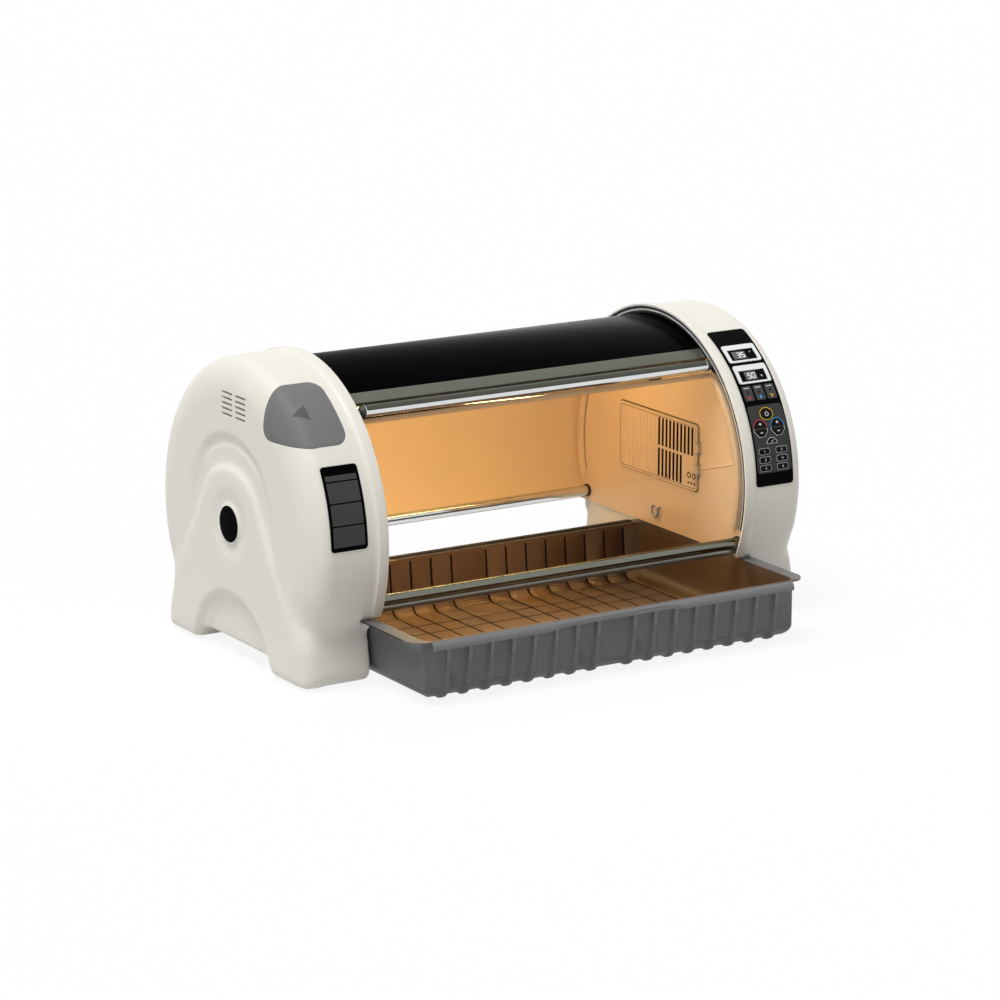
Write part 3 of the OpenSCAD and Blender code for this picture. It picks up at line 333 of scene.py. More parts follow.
def grown(points, by):
    """A closed outline moved outwards by a distance, with mitred corners."""
    out = []
    for i, p in enumerate(points):
        a, b = Vector(points[i - 1]), Vector(points[(i + 1) % len(points)])
        p = Vector(p)
        n1, n2 = (p - a).normalized(), (b - p).normalized()
        n1, n2 = Vector((n1.y, -n1.x)), Vector((n2.y, -n2.x))
        m = (n1 + n2).normalized()
        out.append(tuple(p + m * by / max(0.4, m.dot(n1))))
    return out


def laid(bm, thickness, lay):
    """Gives a flat bmesh its thickness and lays it on a surface."""
    top = bmesh.ops.extrude_face_region(bm, geom=bm.faces[:])
    for vert in (g for g in top["geom"] if isinstance(g, bmesh.types.BMVert)):
        vert.co.z += thickness
    for vert in bm.verts:
        vert.co = lay(*vert.co)
    bmesh.ops.recalc_face_normals(bm, faces=bm.faces)
    return bm


def drawing(loops_list, thickness, lay, cut=3 * MM):
    """Thin plate from flat outlines, each a loop or an outer and an inner loop, laid on a surface.
    Cuts at even heights let it follow a curve."""
    bm = bmesh.new()
    for loops in loops_list:
        rings = [[bm.verts.new((u, v, 0)) for u, v in loop] for loop in loops]
        if len(rings) == 1:
            bm.faces.new(rings[0])
        else:
            n = len(rings[0])
            for i in range(n):
                j = (i + 1) % n
                bm.faces.new((rings[0][i], rings[0][j], rings[1][j], rings[1][i]))
    low, high = (f(v.co.y for v in bm.verts) for f in (min, max))
    v = math.floor(low / cut) * cut + cut
    while v < high - cut / 10:
        bmesh.ops.bisect_plane(bm, geom=bm.verts[:] + bm.edges[:] + bm.faces[:], plane_co=(0, v, 0),
                               plane_no=(0, 1, 0))
        v += cut
    return laid(bm, thickness, lay)


def skinned(rings):
    """Closed skin over rings of points, one after the other, with flat ends."""
    bm = bmesh.new()
    rings = [[bm.verts.new(point) for point in ring] for ring in rings]
    n = len(rings[0])
    for low, high in zip(rings, rings[1:]):
        for i in range(n):
            j = (i + 1) % n
            bm.faces.new((low[i], low[j], high[j], high[i]))
    bm.faces.new(rings[0])
    bm.faces.new(rings[-1])
    bmesh.ops.recalc_face_normals(bm, faces=bm.faces)
    return bm


def swept(profile, a0, a1, steps):
    """Closed (x, r) profile swept round the barrel axis from a0 to a1, with closed ends."""
    return skinned([[around(x, r, a0 + (a1 - a0) * i / steps) for x, r in profile]
                    for i in range(steps + 1)])


def turned(profile, y, z, sides=32):
    """(x, r) profile turned round a line along x, with closed ends."""
    turns = [2 * math.pi * i / sides for i in range(sides)]
    return skinned([[(x, y + r * math.cos(t), z + r * math.sin(t)) for t in turns] for x, r in profile])


def node_mesh(*nodes):
    """Merged copy of CAD nodes' meshes as one bmesh."""
    bm = bmesh.new()
    for node in nodes:
        bm.from_mesh(frame["nodes"][node].data)
    bmesh.ops.remove_doubles(bm, verts=bm.verts, dist=MERGE)
    return bm


def new_object(name, bm):
    """Object in the scene from a bmesh, which is used up."""
    mesh = bpy.data.meshes.new(name)
    bm.to_mesh(mesh)
    bm.free()
    piece = bpy.data.objects.new(name, mesh)
    bpy.context.scene.collection.objects.link(piece)
    return piece


def finished(piece):
    """Puts the result of the piece's modifiers into its mesh and takes them off."""
    bpy.context.view_layer.update()
    seen = piece.evaluated_get(bpy.context.evaluated_depsgraph_get())
    mesh = bpy.data.meshes.new_from_object(seen)
    old = piece.data
    piece.modifiers.clear()
    piece.data = mesh
    bpy.data.meshes.remove(old)
    return piece


def cut_with(piece, tool, operation):
    """Applies one boolean with a helper object and removes the helper."""
    step = piece.modifiers.new("cut", "BOOLEAN")
    step.operation = operation
    step.solver = "MANIFOLD"
    step.object = tool
    finished(piece)
    bpy.data.objects.remove(tool)
    return piece


def slot_of(node):
    """Material slot that the record gives a CAD node."""
    return next(s["material_slot"] for s in frame["record"]["subparts"] if s["node"] == node)


def body_of(node):
    """Body that a CAD node rides on."""
    return frame["nodes"][node]["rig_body"]


def settle(piece, material, body, slot=None, nodes=(), angle=32):
    """Gives a piece its finish and its body, and hides the CAD nodes that it stands for; the slot is looked
    up but not given.
    """
    piece.data.materials.clear()
    piece.data.materials.append(material)
    piece.data.shade_smooth()
    piece.data.set_sharp_from_angle(angle=LEAN(angle))
    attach(piece, body)
    if nodes:
        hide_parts(*nodes)
    slot or slot_of(nodes[0])
    return piece


def bevelled(piece, width, segments=2, angle=35):
    """Rounds the edges that are sharper than an angle."""
    step = piece.modifiers.new("edges", "BEVEL")
    step.width = width
    step.segments = segments
    step.limit_method = "ANGLE"
    step.angle_limit = LEAN(angle)
    step.use_clamp_overlap = True
    return finished(piece)


def dressed(node, material, edge_mm=0.5, segments=2):
    """The CAD node's own shape with softened edges, in place of the node."""
    bm = node_mesh(node)
    bmesh.ops.dissolve_limit(bm, angle_limit=LEAN(1), verts=bm.verts, edges=bm.edges)
    piece = new_object(node + "_piece", bm)
    bevelled(piece, edge_mm * MM, segments)
    return settle(piece, material, body_of(node), nodes=(node,))


def keep_node(node, material):
    """A CAD node whose shape is right only gets its finish."""
    for slot in frame["nodes"][node].material_slots:
        slot.material = material


def sign(words, height, thickness, lay):
    """Thin number or sign in the built-in typeface, centred and laid on a surface."""
    curve = bpy.data.curves.new("sign", "FONT")
    curve.body = words
    curve.align_x, curve.align_y = "CENTER", "CENTER"
    curve.size = height
    curve.resolution_u = 4
    writer = bpy.data.objects.new("sign", curve)
    bpy.context.scene.collection.objects.link(writer)
    bpy.context.view_layer.update()
    mesh = bpy.data.meshes.new_from_object(writer.evaluated_get(bpy.context.evaluated_depsgraph_get()))
    bpy.data.objects.remove(writer)
    bpy.data.curves.remove(curve)
    bm = bmesh.new()
    bm.from_mesh(mesh)
    bpy.data.meshes.remove(mesh)
    bmesh.ops.remove_doubles(bm, verts=bm.verts, dist=MERGE)
    return laid(bm, thickness, lay)


def joined(*parts):
    """One bmesh from several."""
    whole = bmesh.new()
    for part in parts:
        mesh = bpy.data.meshes.new("part")
        part.to_mesh(mesh)
        part.free()
        whole.from_mesh(mesh)
        bpy.data.meshes.remove(mesh)
    return whole


# ---------------------------------------------------------------- rules that repeat

def start_tree(name, inputs):
    """New Geometry Nodes tree with named inputs; gives the tree, its input node and the identifiers."""
    tree = bpy.data.node_groups.new(name, "GeometryNodeTree")
    tree.interface.new_socket("Geometry", in_out="INPUT", socket_type="NodeSocketGeometry")
    ids = {}
    for label, kind in inputs:
        ids[label] = tree.interface.new_socket(label, in_out="INPUT", socket_type=kind).identifier
    tree.interface.new_socket("Geometry", in_out="OUTPUT", socket_type="NodeSocketGeometry")
    return tree, add(tree, "NodeGroupInput"), ids


def end_tree(tree, inp, instances):
    """Ends a tree in plain geometry with the given material."""
    plain = add(tree, "GeometryNodeRealizeInstances", links={"Geometry": instances})
    coated = add(tree, "GeometryNodeSetMaterial",
                 links={"Geometry": plain.outputs["Geometry"], "Material": inp.outputs["Material"]})
    add(tree, "NodeGroupOutput", links={"Geometry": coated.outputs["Geometry"]})


def slot_rows_tree():
    """Columns and rows of upright prisms with rounded slot outlines."""
    tree, inp, ids = start_tree("slot_rows", [
        ("Rows", "NodeSocketInt"), ("Columns", "NodeSocketInt"), ("Rows Span", "NodeSocketFloat"),
        ("Columns Span", "NodeSocketFloat"), ("Slot Length", "NodeSocketFloat"),
        ("Slot Width", "NodeSocketFloat"), ("Rounding", "NodeSocketFloat"), ("Depth", "NodeSocketFloat"),
        ("Material", "NodeSocketMaterial")])
    grid = add(tree, "GeometryNodeMeshGrid", links={
        "Size X": inp.outputs["Columns Span"], "Size Y": inp.outputs["Rows Span"],
        "Vertices X": inp.outputs["Columns"], "Vertices Y": inp.outputs["Rows"]})
    outline = add(tree, "GeometryNodeCurvePrimitiveQuadrilateral", links={
        "Width": inp.outputs["Slot Length"], "Height": inp.outputs["Slot Width"]})
    rounded = add(tree, "GeometryNodeFilletCurve", {"mode": "POLY"}, {"Count": 4}, {
        "Curve": outline.outputs["Curve"], "Radius": inp.outputs["Rounding"]})
    floor = add(tree, "GeometryNodeFillCurve", links={"Curve": rounded.outputs["Curve"]})
    rise = add(tree, "GeometryNodeExtrudeMesh", values={"Individual": False}, links={
        "Mesh": floor.outputs["Mesh"], "Offset Scale": inp.outputs["Depth"]})
    under = add(tree, "GeometryNodeFlipFaces", links={"Mesh": floor.outputs["Mesh"]})
    both = add(tree, "GeometryNodeJoinGeometry")
    tree.links.new(rise.outputs["Mesh"], both.inputs["Geometry"])
    tree.links.new(under.outputs["Mesh"], both.inputs["Geometry"])
    prism = add(tree, "GeometryNodeMergeByDistance", values={"Distance": 1e-5},
                links={"Geometry": both.outputs["Geometry"]})
    rows = add(tree, "GeometryNodeInstanceOnPoints", links={
        "Points": grid.outputs["Mesh"], "Instance": prism.outputs["Geometry"]})
    end_tree(tree, inp, rows.outputs["Instances"])
    return tree, ids


def rib_rows_tree():
    """The object's own rib, repeated from the middle gap outwards on both sides."""
    tree, inp, ids = start_tree("rib_rows", [
        ("Ribs Each Side", "NodeSocketInt"), ("Pitch", "NodeSocketFloat"),
        ("Middle Gap", "NodeSocketFloat"), ("Material", "NodeSocketMaterial")])
    both = add(tree, "GeometryNodeJoinGeometry")
    for side in (-1, 1):
        first = add(tree, "ShaderNodeMath", {"operation": "MULTIPLY"}, {1: side / 2},
                    {0: inp.outputs["Middle Gap"]})
        step = add(tree, "ShaderNodeMath", {"operation": "MULTIPLY"}, {1: side}, {0: inp.outputs["Pitch"]})
        start = add(tree, "ShaderNodeCombineXYZ", links={"X": first.outputs["Value"]})
        offset = add(tree, "ShaderNodeCombineXYZ", links={"X": step.outputs["Value"]})
        line = add(tree, "GeometryNodeMeshLine", links={
            "Count": inp.outputs["Ribs Each Side"], "Start Location": start.outputs["Vector"],
            "Offset": offset.outputs["Vector"]})
        tree.links.new(line.outputs["Mesh"], both.inputs["Geometry"])
    ribs = add(tree, "GeometryNodeInstanceOnPoints", links={
        "Points": both.outputs["Geometry"], "Instance": inp.outputs["Geometry"]})
    end_tree(tree, inp, ribs.outputs["Instances"])
    return tree, ids


def arrow_bars_tree():
    """A row of upright bars that grow in height, so that together they point one way."""
    tree, inp, ids = start_tree("arrow_bars", [
        ("Bars", "NodeSocketInt"), ("Pitch", "NodeSocketFloat"), ("Shortest", "NodeSocketFloat"),
        ("Growth", "NodeSocketFloat"), ("Bar Width", "NodeSocketFloat"), ("Relief", "NodeSocketFloat"),
        ("Material", "NodeSocketMaterial")])
    offset = add(tree, "ShaderNodeCombineXYZ", links={"X": inp.outputs["Pitch"]})
    line = add(tree, "GeometryNodeMeshLine",
               links={"Count": inp.outputs["Bars"], "Offset": offset.outputs["Vector"]})
    size = add(tree, "ShaderNodeCombineXYZ", values={"Y": 1.0}, links={
        "X": inp.outputs["Bar Width"], "Z": inp.outputs["Relief"]})
    bar = add(tree, "GeometryNodeMeshCube", values={"Vertices Y": 5},
              links={"Size": size.outputs["Vector"]})
    index = add(tree, "GeometryNodeInputIndex")
    grow = add(tree, "ShaderNodeMath", {"operation": "MULTIPLY_ADD"}, links={
        0: index.outputs["Index"], 1: inp.outputs["Growth"], 2: inp.outputs["Shortest"]})
    tall = add(tree, "ShaderNodeCombineXYZ", values={"X": 1.0, "Z": 1.0},
               links={"Y": grow.outputs["Value"]})
    bars = add(tree, "GeometryNodeInstanceOnPoints", links={
        "Points": line.outputs["Mesh"], "Instance": bar.outputs["Mesh"], "Scale": tall.outputs["Vector"]})
    end_tree(tree, inp, bars.outputs["Instances"])
    return tree, ids


def by_rule(name, tree_and_ids, inputs, seed=None):
    """A plain mesh object made by a tree, from an own seed mesh where the tree repeats one."""
    tree, ids = tree_and_ids
    piece = new_object(name, seed or bmesh.new())
    step = piece.modifiers.new("rule", "NODES")
    step.node_group = tree
    for label, value in inputs.items():
        step[ids[label]] = value
    return finished(piece)


# ---------------------------------------------------------------- finishes

_made = {}


def finish(name):
    """The named finish, made on first use from the user's colours and levels."""
    if name not in _made:
        scene = bpy.context.scene
        _made[name] = FINISHES[name](scene.brooder_colours, scene.brooder_sizes)
    return _made[name]


FINISHES = {
    # Satin ABS: cream, even, soft sheen, a spark-eroded grain that is drawn coarser than its 0.1 mm
    "cream_abs": lambda c, s: moulded("cream_moulded_abs", c.housing, 0.4, 1.8, 0.02, wear=0.25),
    # ABS: tan, with a painted glow of lamp light, so it seems lit from within
    "tan_abs": lambda c, s: moulded(
        "tan_moulded_abs", c.wall, 0.42, 1.6, 0.02, 160, 0.05, glow=s.painted_wall_glow),
    # Formed sheet under the lamp: gold, with an even sheen, slow clouds of lamp light and a painted glow of
    # lamp light
    "liner_abs": lambda c, s: moulded(
        "gold_liner_sheet", c.liner, 0.34, 2.5, 0.015, 210, 0.06, glow=s.painted_wall_glow, polish=0.015),
    # Extruded EPDM rubber: black and dull, a little patchy; in the rim's gap and on the tray's flange its
    # black also stands in for shade
    "gasket_rubber": lambda c, s: moulded(
        "black_extruded_rubber", paint("1C1C1B"), 0.62, 1.2, 0.05, 60, 0.15),
    # Extruded clear PVC: pale grey with a wet-looking gloss; the pale grey partly stands in for a highlight
    # line
    "ring_plastic": lambda c, s: moulded(
        "pale_edge_strip_painted_highlight", paint("C9CACA"), 0.16, 3.0, 0.01, coat=0.4),
    # Thermoformed acrylic: deep black with a slow ripple; its IOR is matched to a cover that mirrors little
    "cover_gloss": lambda c, s: moulded(
        "black_gloss_acrylic", c.cover, 0.2, 22.0, 0.03, 120, 0.2, specular=0.1, ior=1.1),
    # Anodised aluminium extrusion: grey with a green cast, lines along its length
    "trim_metal": lambda c, s: drawn_metal(
        "anodised_aluminium", c.trim, 0.34, (120, 1.4), 0.01, 0.1, metallic=0.75),
    # Chromed steel tube: mirror bright with faint lengthwise polish
    "chrome": lambda c, s: drawn_metal("chromed_steel_tube", paint("D9DBDC"), 0.07, (160, 1.5), 0.003),
    # Chromed bar coloured darker than the tube, with a green cast: a painted reflection of dark
    # surroundings
    "rod_steel": lambda c, s: drawn_metal("steel_bar_with_painted_dark_reflection", paint("74766C"), 0.14, (140, 1.6), 0.004),
    # Dark strip on the handle bar: grey with a green cast, satin, lines along its length; a painted
    # reflection on the chrome
    "handle_reflection_strip": lambda c, s: drawn_metal(
        "dark_painted_reflection_strip", paint("4B4D45"), 0.3, (120, 1.4), 0.006, 0.1, metallic=0.8),
    # Extruded PVC: amber and satin, lightened and given a painted glow of lamp light against the handle's
    # shade
    "rail_amber": lambda c, s: moulded(
        "amber_strip_with_painted_light", paint("D8B083"), 0.4, 1.4, 0.02, 60, 0.06, glow=s.painted_wall_glow),
    # Painted shade in a groove: near black, without sheen
    "groove_dark": lambda c, s: moulded(
        "painted_groove_shade", paint("17110C"), 0.8, 1.6, 0.05, 25, 0.2, specular=0.1),
    # Painted shade at edges on the lit wall and round the grille: a soft dark line
    "painted_seam_shade": lambda c, s: moulded(
        "painted_wall_shade_line", shade(c.wall, 0.2), 0.7, 1.4, 0.03, 30, 0.2, specular=0.1),
    # Black and dull: a sheet of painted shade behind the grille's slots, and the grille's marks; a coarse
    # grain
    "shade_and_mark_black": lambda c, s: moulded(
        "black_shade_sheet_and_marks", paint("0D0C0B"), 0.8, 1.4, 0.2, 20, 0.3, specular=0.05),
    # Zinc-plated steel: pale grey, short lines, patchy gloss
    "steel": lambda c, s: drawn_metal("zinc_plated_steel", paint("A9ABAD"), 0.32, (10, 1.0), 0.01, 0.1),
    # Brushed strip: warm grey, lines along its length
    "sill_metal": lambda c, s: drawn_metal(
        "brushed_sill_strip", paint("8C8D86"), 0.3, (120, 1.2), 0.008, 0.1),
    # Moulded nylon: black and satin, with edges rubbed grey
    "nylon_black": lambda c, s: moulded(
        "black_nylon", paint("2A2A29"), 0.5, 1.2, 0.03, 40, 0.12, wear=0.3),
    # The same undyed: a warm white
    "nylon_white": lambda c, s: moulded("white_nylon", paint("DAD8D0"), 0.45, 1.2, 0.03, 40, 0.05),
    # Moulded polypropylene: mid grey, waxy satin, with scuffed edges
    "tray_pp": lambda c, s: moulded(
        "grey_moulded_polypropylene", c.tray, 0.46, 1.4, 0.03, 70, 0.06, wear=0.35),
    # The same inside: a warm brown on the inner faces, painted darker towards the right end as shade, and
    # the lip painted paler as light
    "tray_tinted_with_painted_light": lambda c, s: moulded(
        "grey_polypropylene_tinted_with_painted_light", c.tray, 0.46, 1.4, 0.03, 70, 0.06, wear=0.35,
        tinted=("inside", paint("846544"), 60 * MM, 350 * MM),
        pale=(TRAY_FRONT - 0.6 * MM, shade(c.tray, 1.45))),
    # Cast acrylic: clear and faintly warm, with wiping haze
    "clear_acrylic": lambda c, s: clear_sheet("clear_cast_acrylic", paint("FBF6EE")),
    # Frosted acrylic before lamps: glows amber, and fades to the right
    "lamp": lambda c, s: lamp_glow("amber_lamp_diffuser", c.lamp, s.lamp_strength),
    # ABS with a dry eroded face: mid grey, little sheen
    "service_abs": lambda c, s: moulded(
        "grey_moulded_abs", c.service, 0.6, 1.5, 0.03, 70, 0.04, wear=0.2, specular=0.3),
    # Raised marks in the same ABS, painted darker as shade
    "service_mark": lambda c, s: moulded(
        "shade_darkened_mould_marks", shade(c.service, 0.42), 0.65, 1.2, 0.02, 20, 0.06, specular=0.2),
    # Blow-moulded polypropylene: milky, waxy
    "tank_pp": lambda c, s: moulded("milky_polypropylene", paint("D5DFE2"), 0.4, 2.0, 0.02, 60, 0.04),
    # ABS case filled with resin: blue grey, blotched
    "device_grey": lambda c, s: moulded("grey_potted_abs", paint("5B6167"), 0.5, 1.5, 0.04, 30, 0.1),
    # Printed polycarbonate overlay: near black, low gloss, faint texture
    "panel_film": lambda c, s: moulded(
        "black_printed_film", paint("070707"), 0.36, 1.2, 0.02, 60, 0.2, specular=0.2, ior=1.12),
    # Printed label film: near black, duller than the overlay
    "label_film": lambda c, s: moulded(
        "black_label_film", paint("060606"), 0.55, 1.2, 0.02, 40, 0.15, specular=0.1, ior=1.12),
    # Print on the film: flat dark grey
    "cell_film": lambda c, s: moulded(
        "dark_grey_print", paint("444445"), 0.5, 1.0, 0.01, 20, 0.05, specular=0.1),
    # Moulded ABS frame: clean white, satin
    "frame_white": lambda c, s: moulded(
        "white_moulded_frame", paint("E9EAEA"), 0.35, 1.2, 0.02, 30, 0.03),
    # Display window: near black and smooth, mirrors little
    "lcd_glass": lambda c, s: moulded(
        "dark_display_glass", paint("0B0C0D"), 0.3, 8.0, 0.004, 40, 0.1, specular=0.2, ior=1.12),
    # Lit field behind the digits: even grey with a weak glow
    "lcd_field": lambda c, s: moulded(
        "grey_display_field", paint("606163"), 0.4, 2.0, 0.01, 10, 0.06, glow=0.06, specular=0.2),
    # Lit segments: pale, with a stronger glow than their field
    "digit": lambda c, s: moulded(
        "lit_digit", paint("E2E4E4"), 0.4, 1.0, 0.01, 8, 0.03, glow=0.2, specular=0.2),
    # Printed polyester film: dark grey, dull
    "keypad_grey": lambda c, s: moulded(
        "grey_keypad_film", paint("3D3D3C"), 0.55, 1.2, 0.03, 30, 0.05, specular=0.1),
    # Moulded silicone: black and dull, with edges rubbed by fingers
    "key_black": lambda c, s: moulded(
        "black_silicone_key", paint("0C0C0C"), 0.5, 0.8, 0.03, 12, 0.15, wear=0.3, specular=0.08),
    # Unlit red lens: almost black, glossy
    "light_off": lambda c, s: moulded(
        "dark_red_light", paint("1C0B0B"), 0.25, 2.0, 0.01, 5, 0.1, specular=0.3),
    # Screen-printed ink, in five colours: flat and dull, a little uneven
    "ink_white": lambda c, s: moulded("white_print", paint("E6E6E4"), 0.5, 0.8, 0.01, 6, 0.04),
    "ink_red": lambda c, s: moulded("red_print", paint("C2373C"), 0.5, 0.8, 0.01, 6, 0.05),
    "ink_blue": lambda c, s: moulded("blue_print", paint("3C9BD6"), 0.5, 0.8, 0.01, 6, 0.05),
    "ink_yellow": lambda c, s: moulded("yellow_print", paint("E2B21F"), 0.5, 0.8, 0.01, 6, 0.05),
    "ink_grey": lambda c, s: moulded("pale_grey_print", paint("BDBDBB"), 0.5, 0.8, 0.01, 6, 0.05),
    # Lacquered circuit board: green and glossy, blotched by the tracks under the lacquer
    "board_green": lambda c, s: moulded("green_circuit_board", paint("1F5B35"), 0.3, 1.5, 0.03, 9, 0.25),
    # Moulded fan ABS: black and satin, with rubbed edges
    "fan_black": lambda c, s: moulded(
        "black_fan_abs", paint("1B1C1D"), 0.42, 1.2, 0.03, 30, 0.12, wear=0.3),
    # Extruded aluminium: bright grey, upright lines
    "heater_metal": lambda c, s: drawn_metal(
        "extruded_aluminium_fins", paint("B9BABB"), 0.35, (30, 0.8), 0.01, 0.1, 2),
    # Non-woven fleece: off-white, soft, matted
    "fleece": lambda c, s: fibre("filter_fleece", paint("DAD9D3")),
    # Moulded rubber: black, dull, coarse grain
    "foot_rubber": lambda c, s: moulded(
        "black_foot_rubber", paint("1A1A1A"), 0.7, 1.0, 0.06, 20, 0.15),
}


class BrooderColours(bpy.types.PropertyGroup):
    """Colours of the main pieces"""

    housing: bpy.props.FloatVectorProperty(
        name="Housings", description="Cream end housings", subtype="COLOR",
        default=paint("E9E6DB"), min=0, max=1)
    wall: bpy.props.FloatVectorProperty(
        name="Inner walls", description="Tan inner walls", subtype="COLOR",
        default=paint("DABD98"), min=0, max=1)
    liner: bpy.props.FloatVectorProperty(
        name="Liner", description="Gold inside face of the cover", subtype="COLOR",
        default=paint("DDBE93"), min=0, max=1)
    cover: bpy.props.FloatVectorProperty(
        name="Cover", description="Gloss black cover", subtype="COLOR",
        default=paint("040404"), min=0, max=1)
    trim: bpy.props.FloatVectorProperty(
        name="Trim", description="Metal strip on the cover's front edge", subtype="COLOR",
        default=paint("63655A"), min=0, max=1)
    tray: bpy.props.FloatVectorProperty(
        name="Tray", description="Grey tray", subtype="COLOR",
        default=paint("606060"), min=0, max=1)
    service: bpy.props.FloatVectorProperty(
        name="Service cover", description="Grey service cover", subtype="COLOR",
        default=paint("737373"), min=0, max=1)
    lamp: bpy.props.FloatVectorProperty(
        name="Lamp", description="Light of the heat lamp", subtype="COLOR",
        default=paint("FFD48C"), min=0, max=1)


class BrooderSizes(bpy.types.PropertyGroup):
    """Sizes and levels that a user may change"""

    housing_grid: bpy.props.FloatProperty(
        name="Housing grid", description="Mesh size of the moulded housings",
        default=3.5 * MM, min=2 * MM, max=8 * MM, unit="LENGTH")
    softening: bpy.props.IntProperty(
        name="Softening", description="Passes that round the moulded relief", default=13, min=0, max=60)
    rib_foot: bpy.props.FloatProperty(
        name="Rib foot", description="Width of a tray rib where it meets the floor",
        default=13.6 * MM, min=9 * MM, max=18 * MM, unit="LENGTH")
    rib_crest: bpy.props.FloatProperty(
        name="Rib crest", description="Width of a tray rib at its crest",
        default=7.6 * MM, min=7.5 * MM, max=9 * MM, unit="LENGTH")
    # Painted glow of lamp light on the walls, liner and rail, which are no lamps
    painted_wall_glow: bpy.props.FloatProperty(
        name="Wall glow", description="Lamp light that shines through the walls",
        default=0.08, min=0, max=1)
    lamp_strength: bpy.props.FloatProperty(
        name="Lamp", description="Brightness of the heat lamp", default=47.0, min=0, max=90)


# ---------------------------------------------------------------- housings

LID_GAP, INLET_GAP = 0.6 * MM, 0.4 * MM


def slot_cutters(side):
    """Prisms for the ten vent slots of one end, from outside the end face inwards."""
    rows, pitch, length, gap = 5, 9.1 * MM, 37 * MM, 9 * MM
    tool = by_rule("vent_cutters", slot_rows_tree(), {
        "Rows": rows, "Columns": 2, "Rows Span": pitch * (rows - 1), "Columns Span": length + gap,
        "Slot Length": length, "Slot Width": 3.9 * MM, "Rounding": 1.5 * MM, "Depth": 30 * MM})
    middle = Vector((side * (END_FACE + 4 * MM), AXIS.y - 14 * MM, AXIS.z + 203.4 * MM))
    turn = Matrix(((0, 0, -side, 0), (1, 0, 0, 0), (0, 1, 0, 0), (0, 0, 0, 1)))
    tool.data.transform(Matrix.Translation(middle) @ turn)
    if side > 0:
        tool.data.flip_normals()
    return tool


def block(x0, x1, y0, y1, z0, z1):
    """Plain box between two corners."""
    bm = bmesh.new()
    bmesh.ops.create_cube(bm, size=1)
    for vert in bm.verts:
        vert.co = Vector(((x0 + x1) / 2 + vert.co.x * (x1 - x0), (y0 + y1) / 2 + vert.co.y * (y1 - y0),
                          (z0 + z1) / 2 + vert.co.z * (z1 - z0)))
    return bm


def places(mesh):
    """The places of a mesh's points, one row each."""
    co = np.empty(len(mesh.vertices) * 3)
    mesh.vertices.foreach_get("co", co)
    return co.reshape(-1, 3)


def move_to(mesh, co):
    """Puts a mesh's points in new places."""
    mesh.vertices.foreach_set("co", co.ravel())
    mesh.update()


def soften(piece, side, passes):
    """Rounds the moulded relief, and most where a leg grows out of the drum; rim and tray's way stay."""
    mesh = piece.data
    co = places(mesh)
    n = len(co)
    edges = np.empty(len(mesh.edges) * 2, int)
    mesh.edges.foreach_get("vertices", edges)
    a, b = edges[0::2], edges[1::2]
    count = np.bincount(a, minlength=n) + np.bincount(b, minlength=n)
    # Weights by place, in mm: out from the middle, up from the floor, and apart from the axis in depth
    out, up, apart = side * co[:, 0] / MM, co[:, 2] / MM, np.abs(co[:, 1] - AXIS.y) / MM
    drum = np.clip((out - 394) / 14, 0, 1)
    feet = np.clip((96 - up) / 8, 0, 1) * np.clip((out - 371) / 6, 0, 1)
    whole = np.maximum(np.maximum(drum, feet), 0.12 * (up > 122))
    legs = eased(up, 62, 84) * eased(up, 165, 135) * eased(apart, 170, 205) * eased(out, 398, 414)
    for weight, times in ((whole, passes), (legs, 4 * passes)):
        for _ in range(times):
            total = np.stack([np.bincount(a, co[b, k], n) + np.bincount(b, co[a, k], n)
                              for k in range(3)], 1)
            co += 0.5 * weight[:, None] * (total / count[:, None] - co)
    move_to(mesh, co)


def relief(piece, side):
    """Soft relief of the end face: crescent groove, bowl round the hub, sunk arch, leaning rear leg."""
    co = places(piece.data)
    # In mm: out from the middle, and back and up from the axis
    out, y, z = side * co[:, 0] / MM, (co[:, 1] - AXIS.y) / MM, (co[:, 2] - AXIS.z) / MM
    r = np.hypot(y, z)
    arch_r = np.hypot(y, z + 259)
    arc = np.degrees(np.arctan2(z, np.abs(y)))
    groove = 2.8 * eased(r, 155, 144) * eased(r, 130, 137) * eased(arc, 36, 58)
    bowl = 3.2 * eased(r, 32, 37) * eased(r, 68, 38)
    arch = 9.0 * eased(arch_r, 146, 125)
    lean = 13 * MM * eased(y, 196, 232) * eased(z, -212, -150) * eased(z, -105, -140)
    co[:, 0] -= side * MM * eased(out, 455, 486) * (groove + bowl + arch)
    co[:, 1] -= lean * eased(out, 380, 400)
    move_to(piece.data, co)


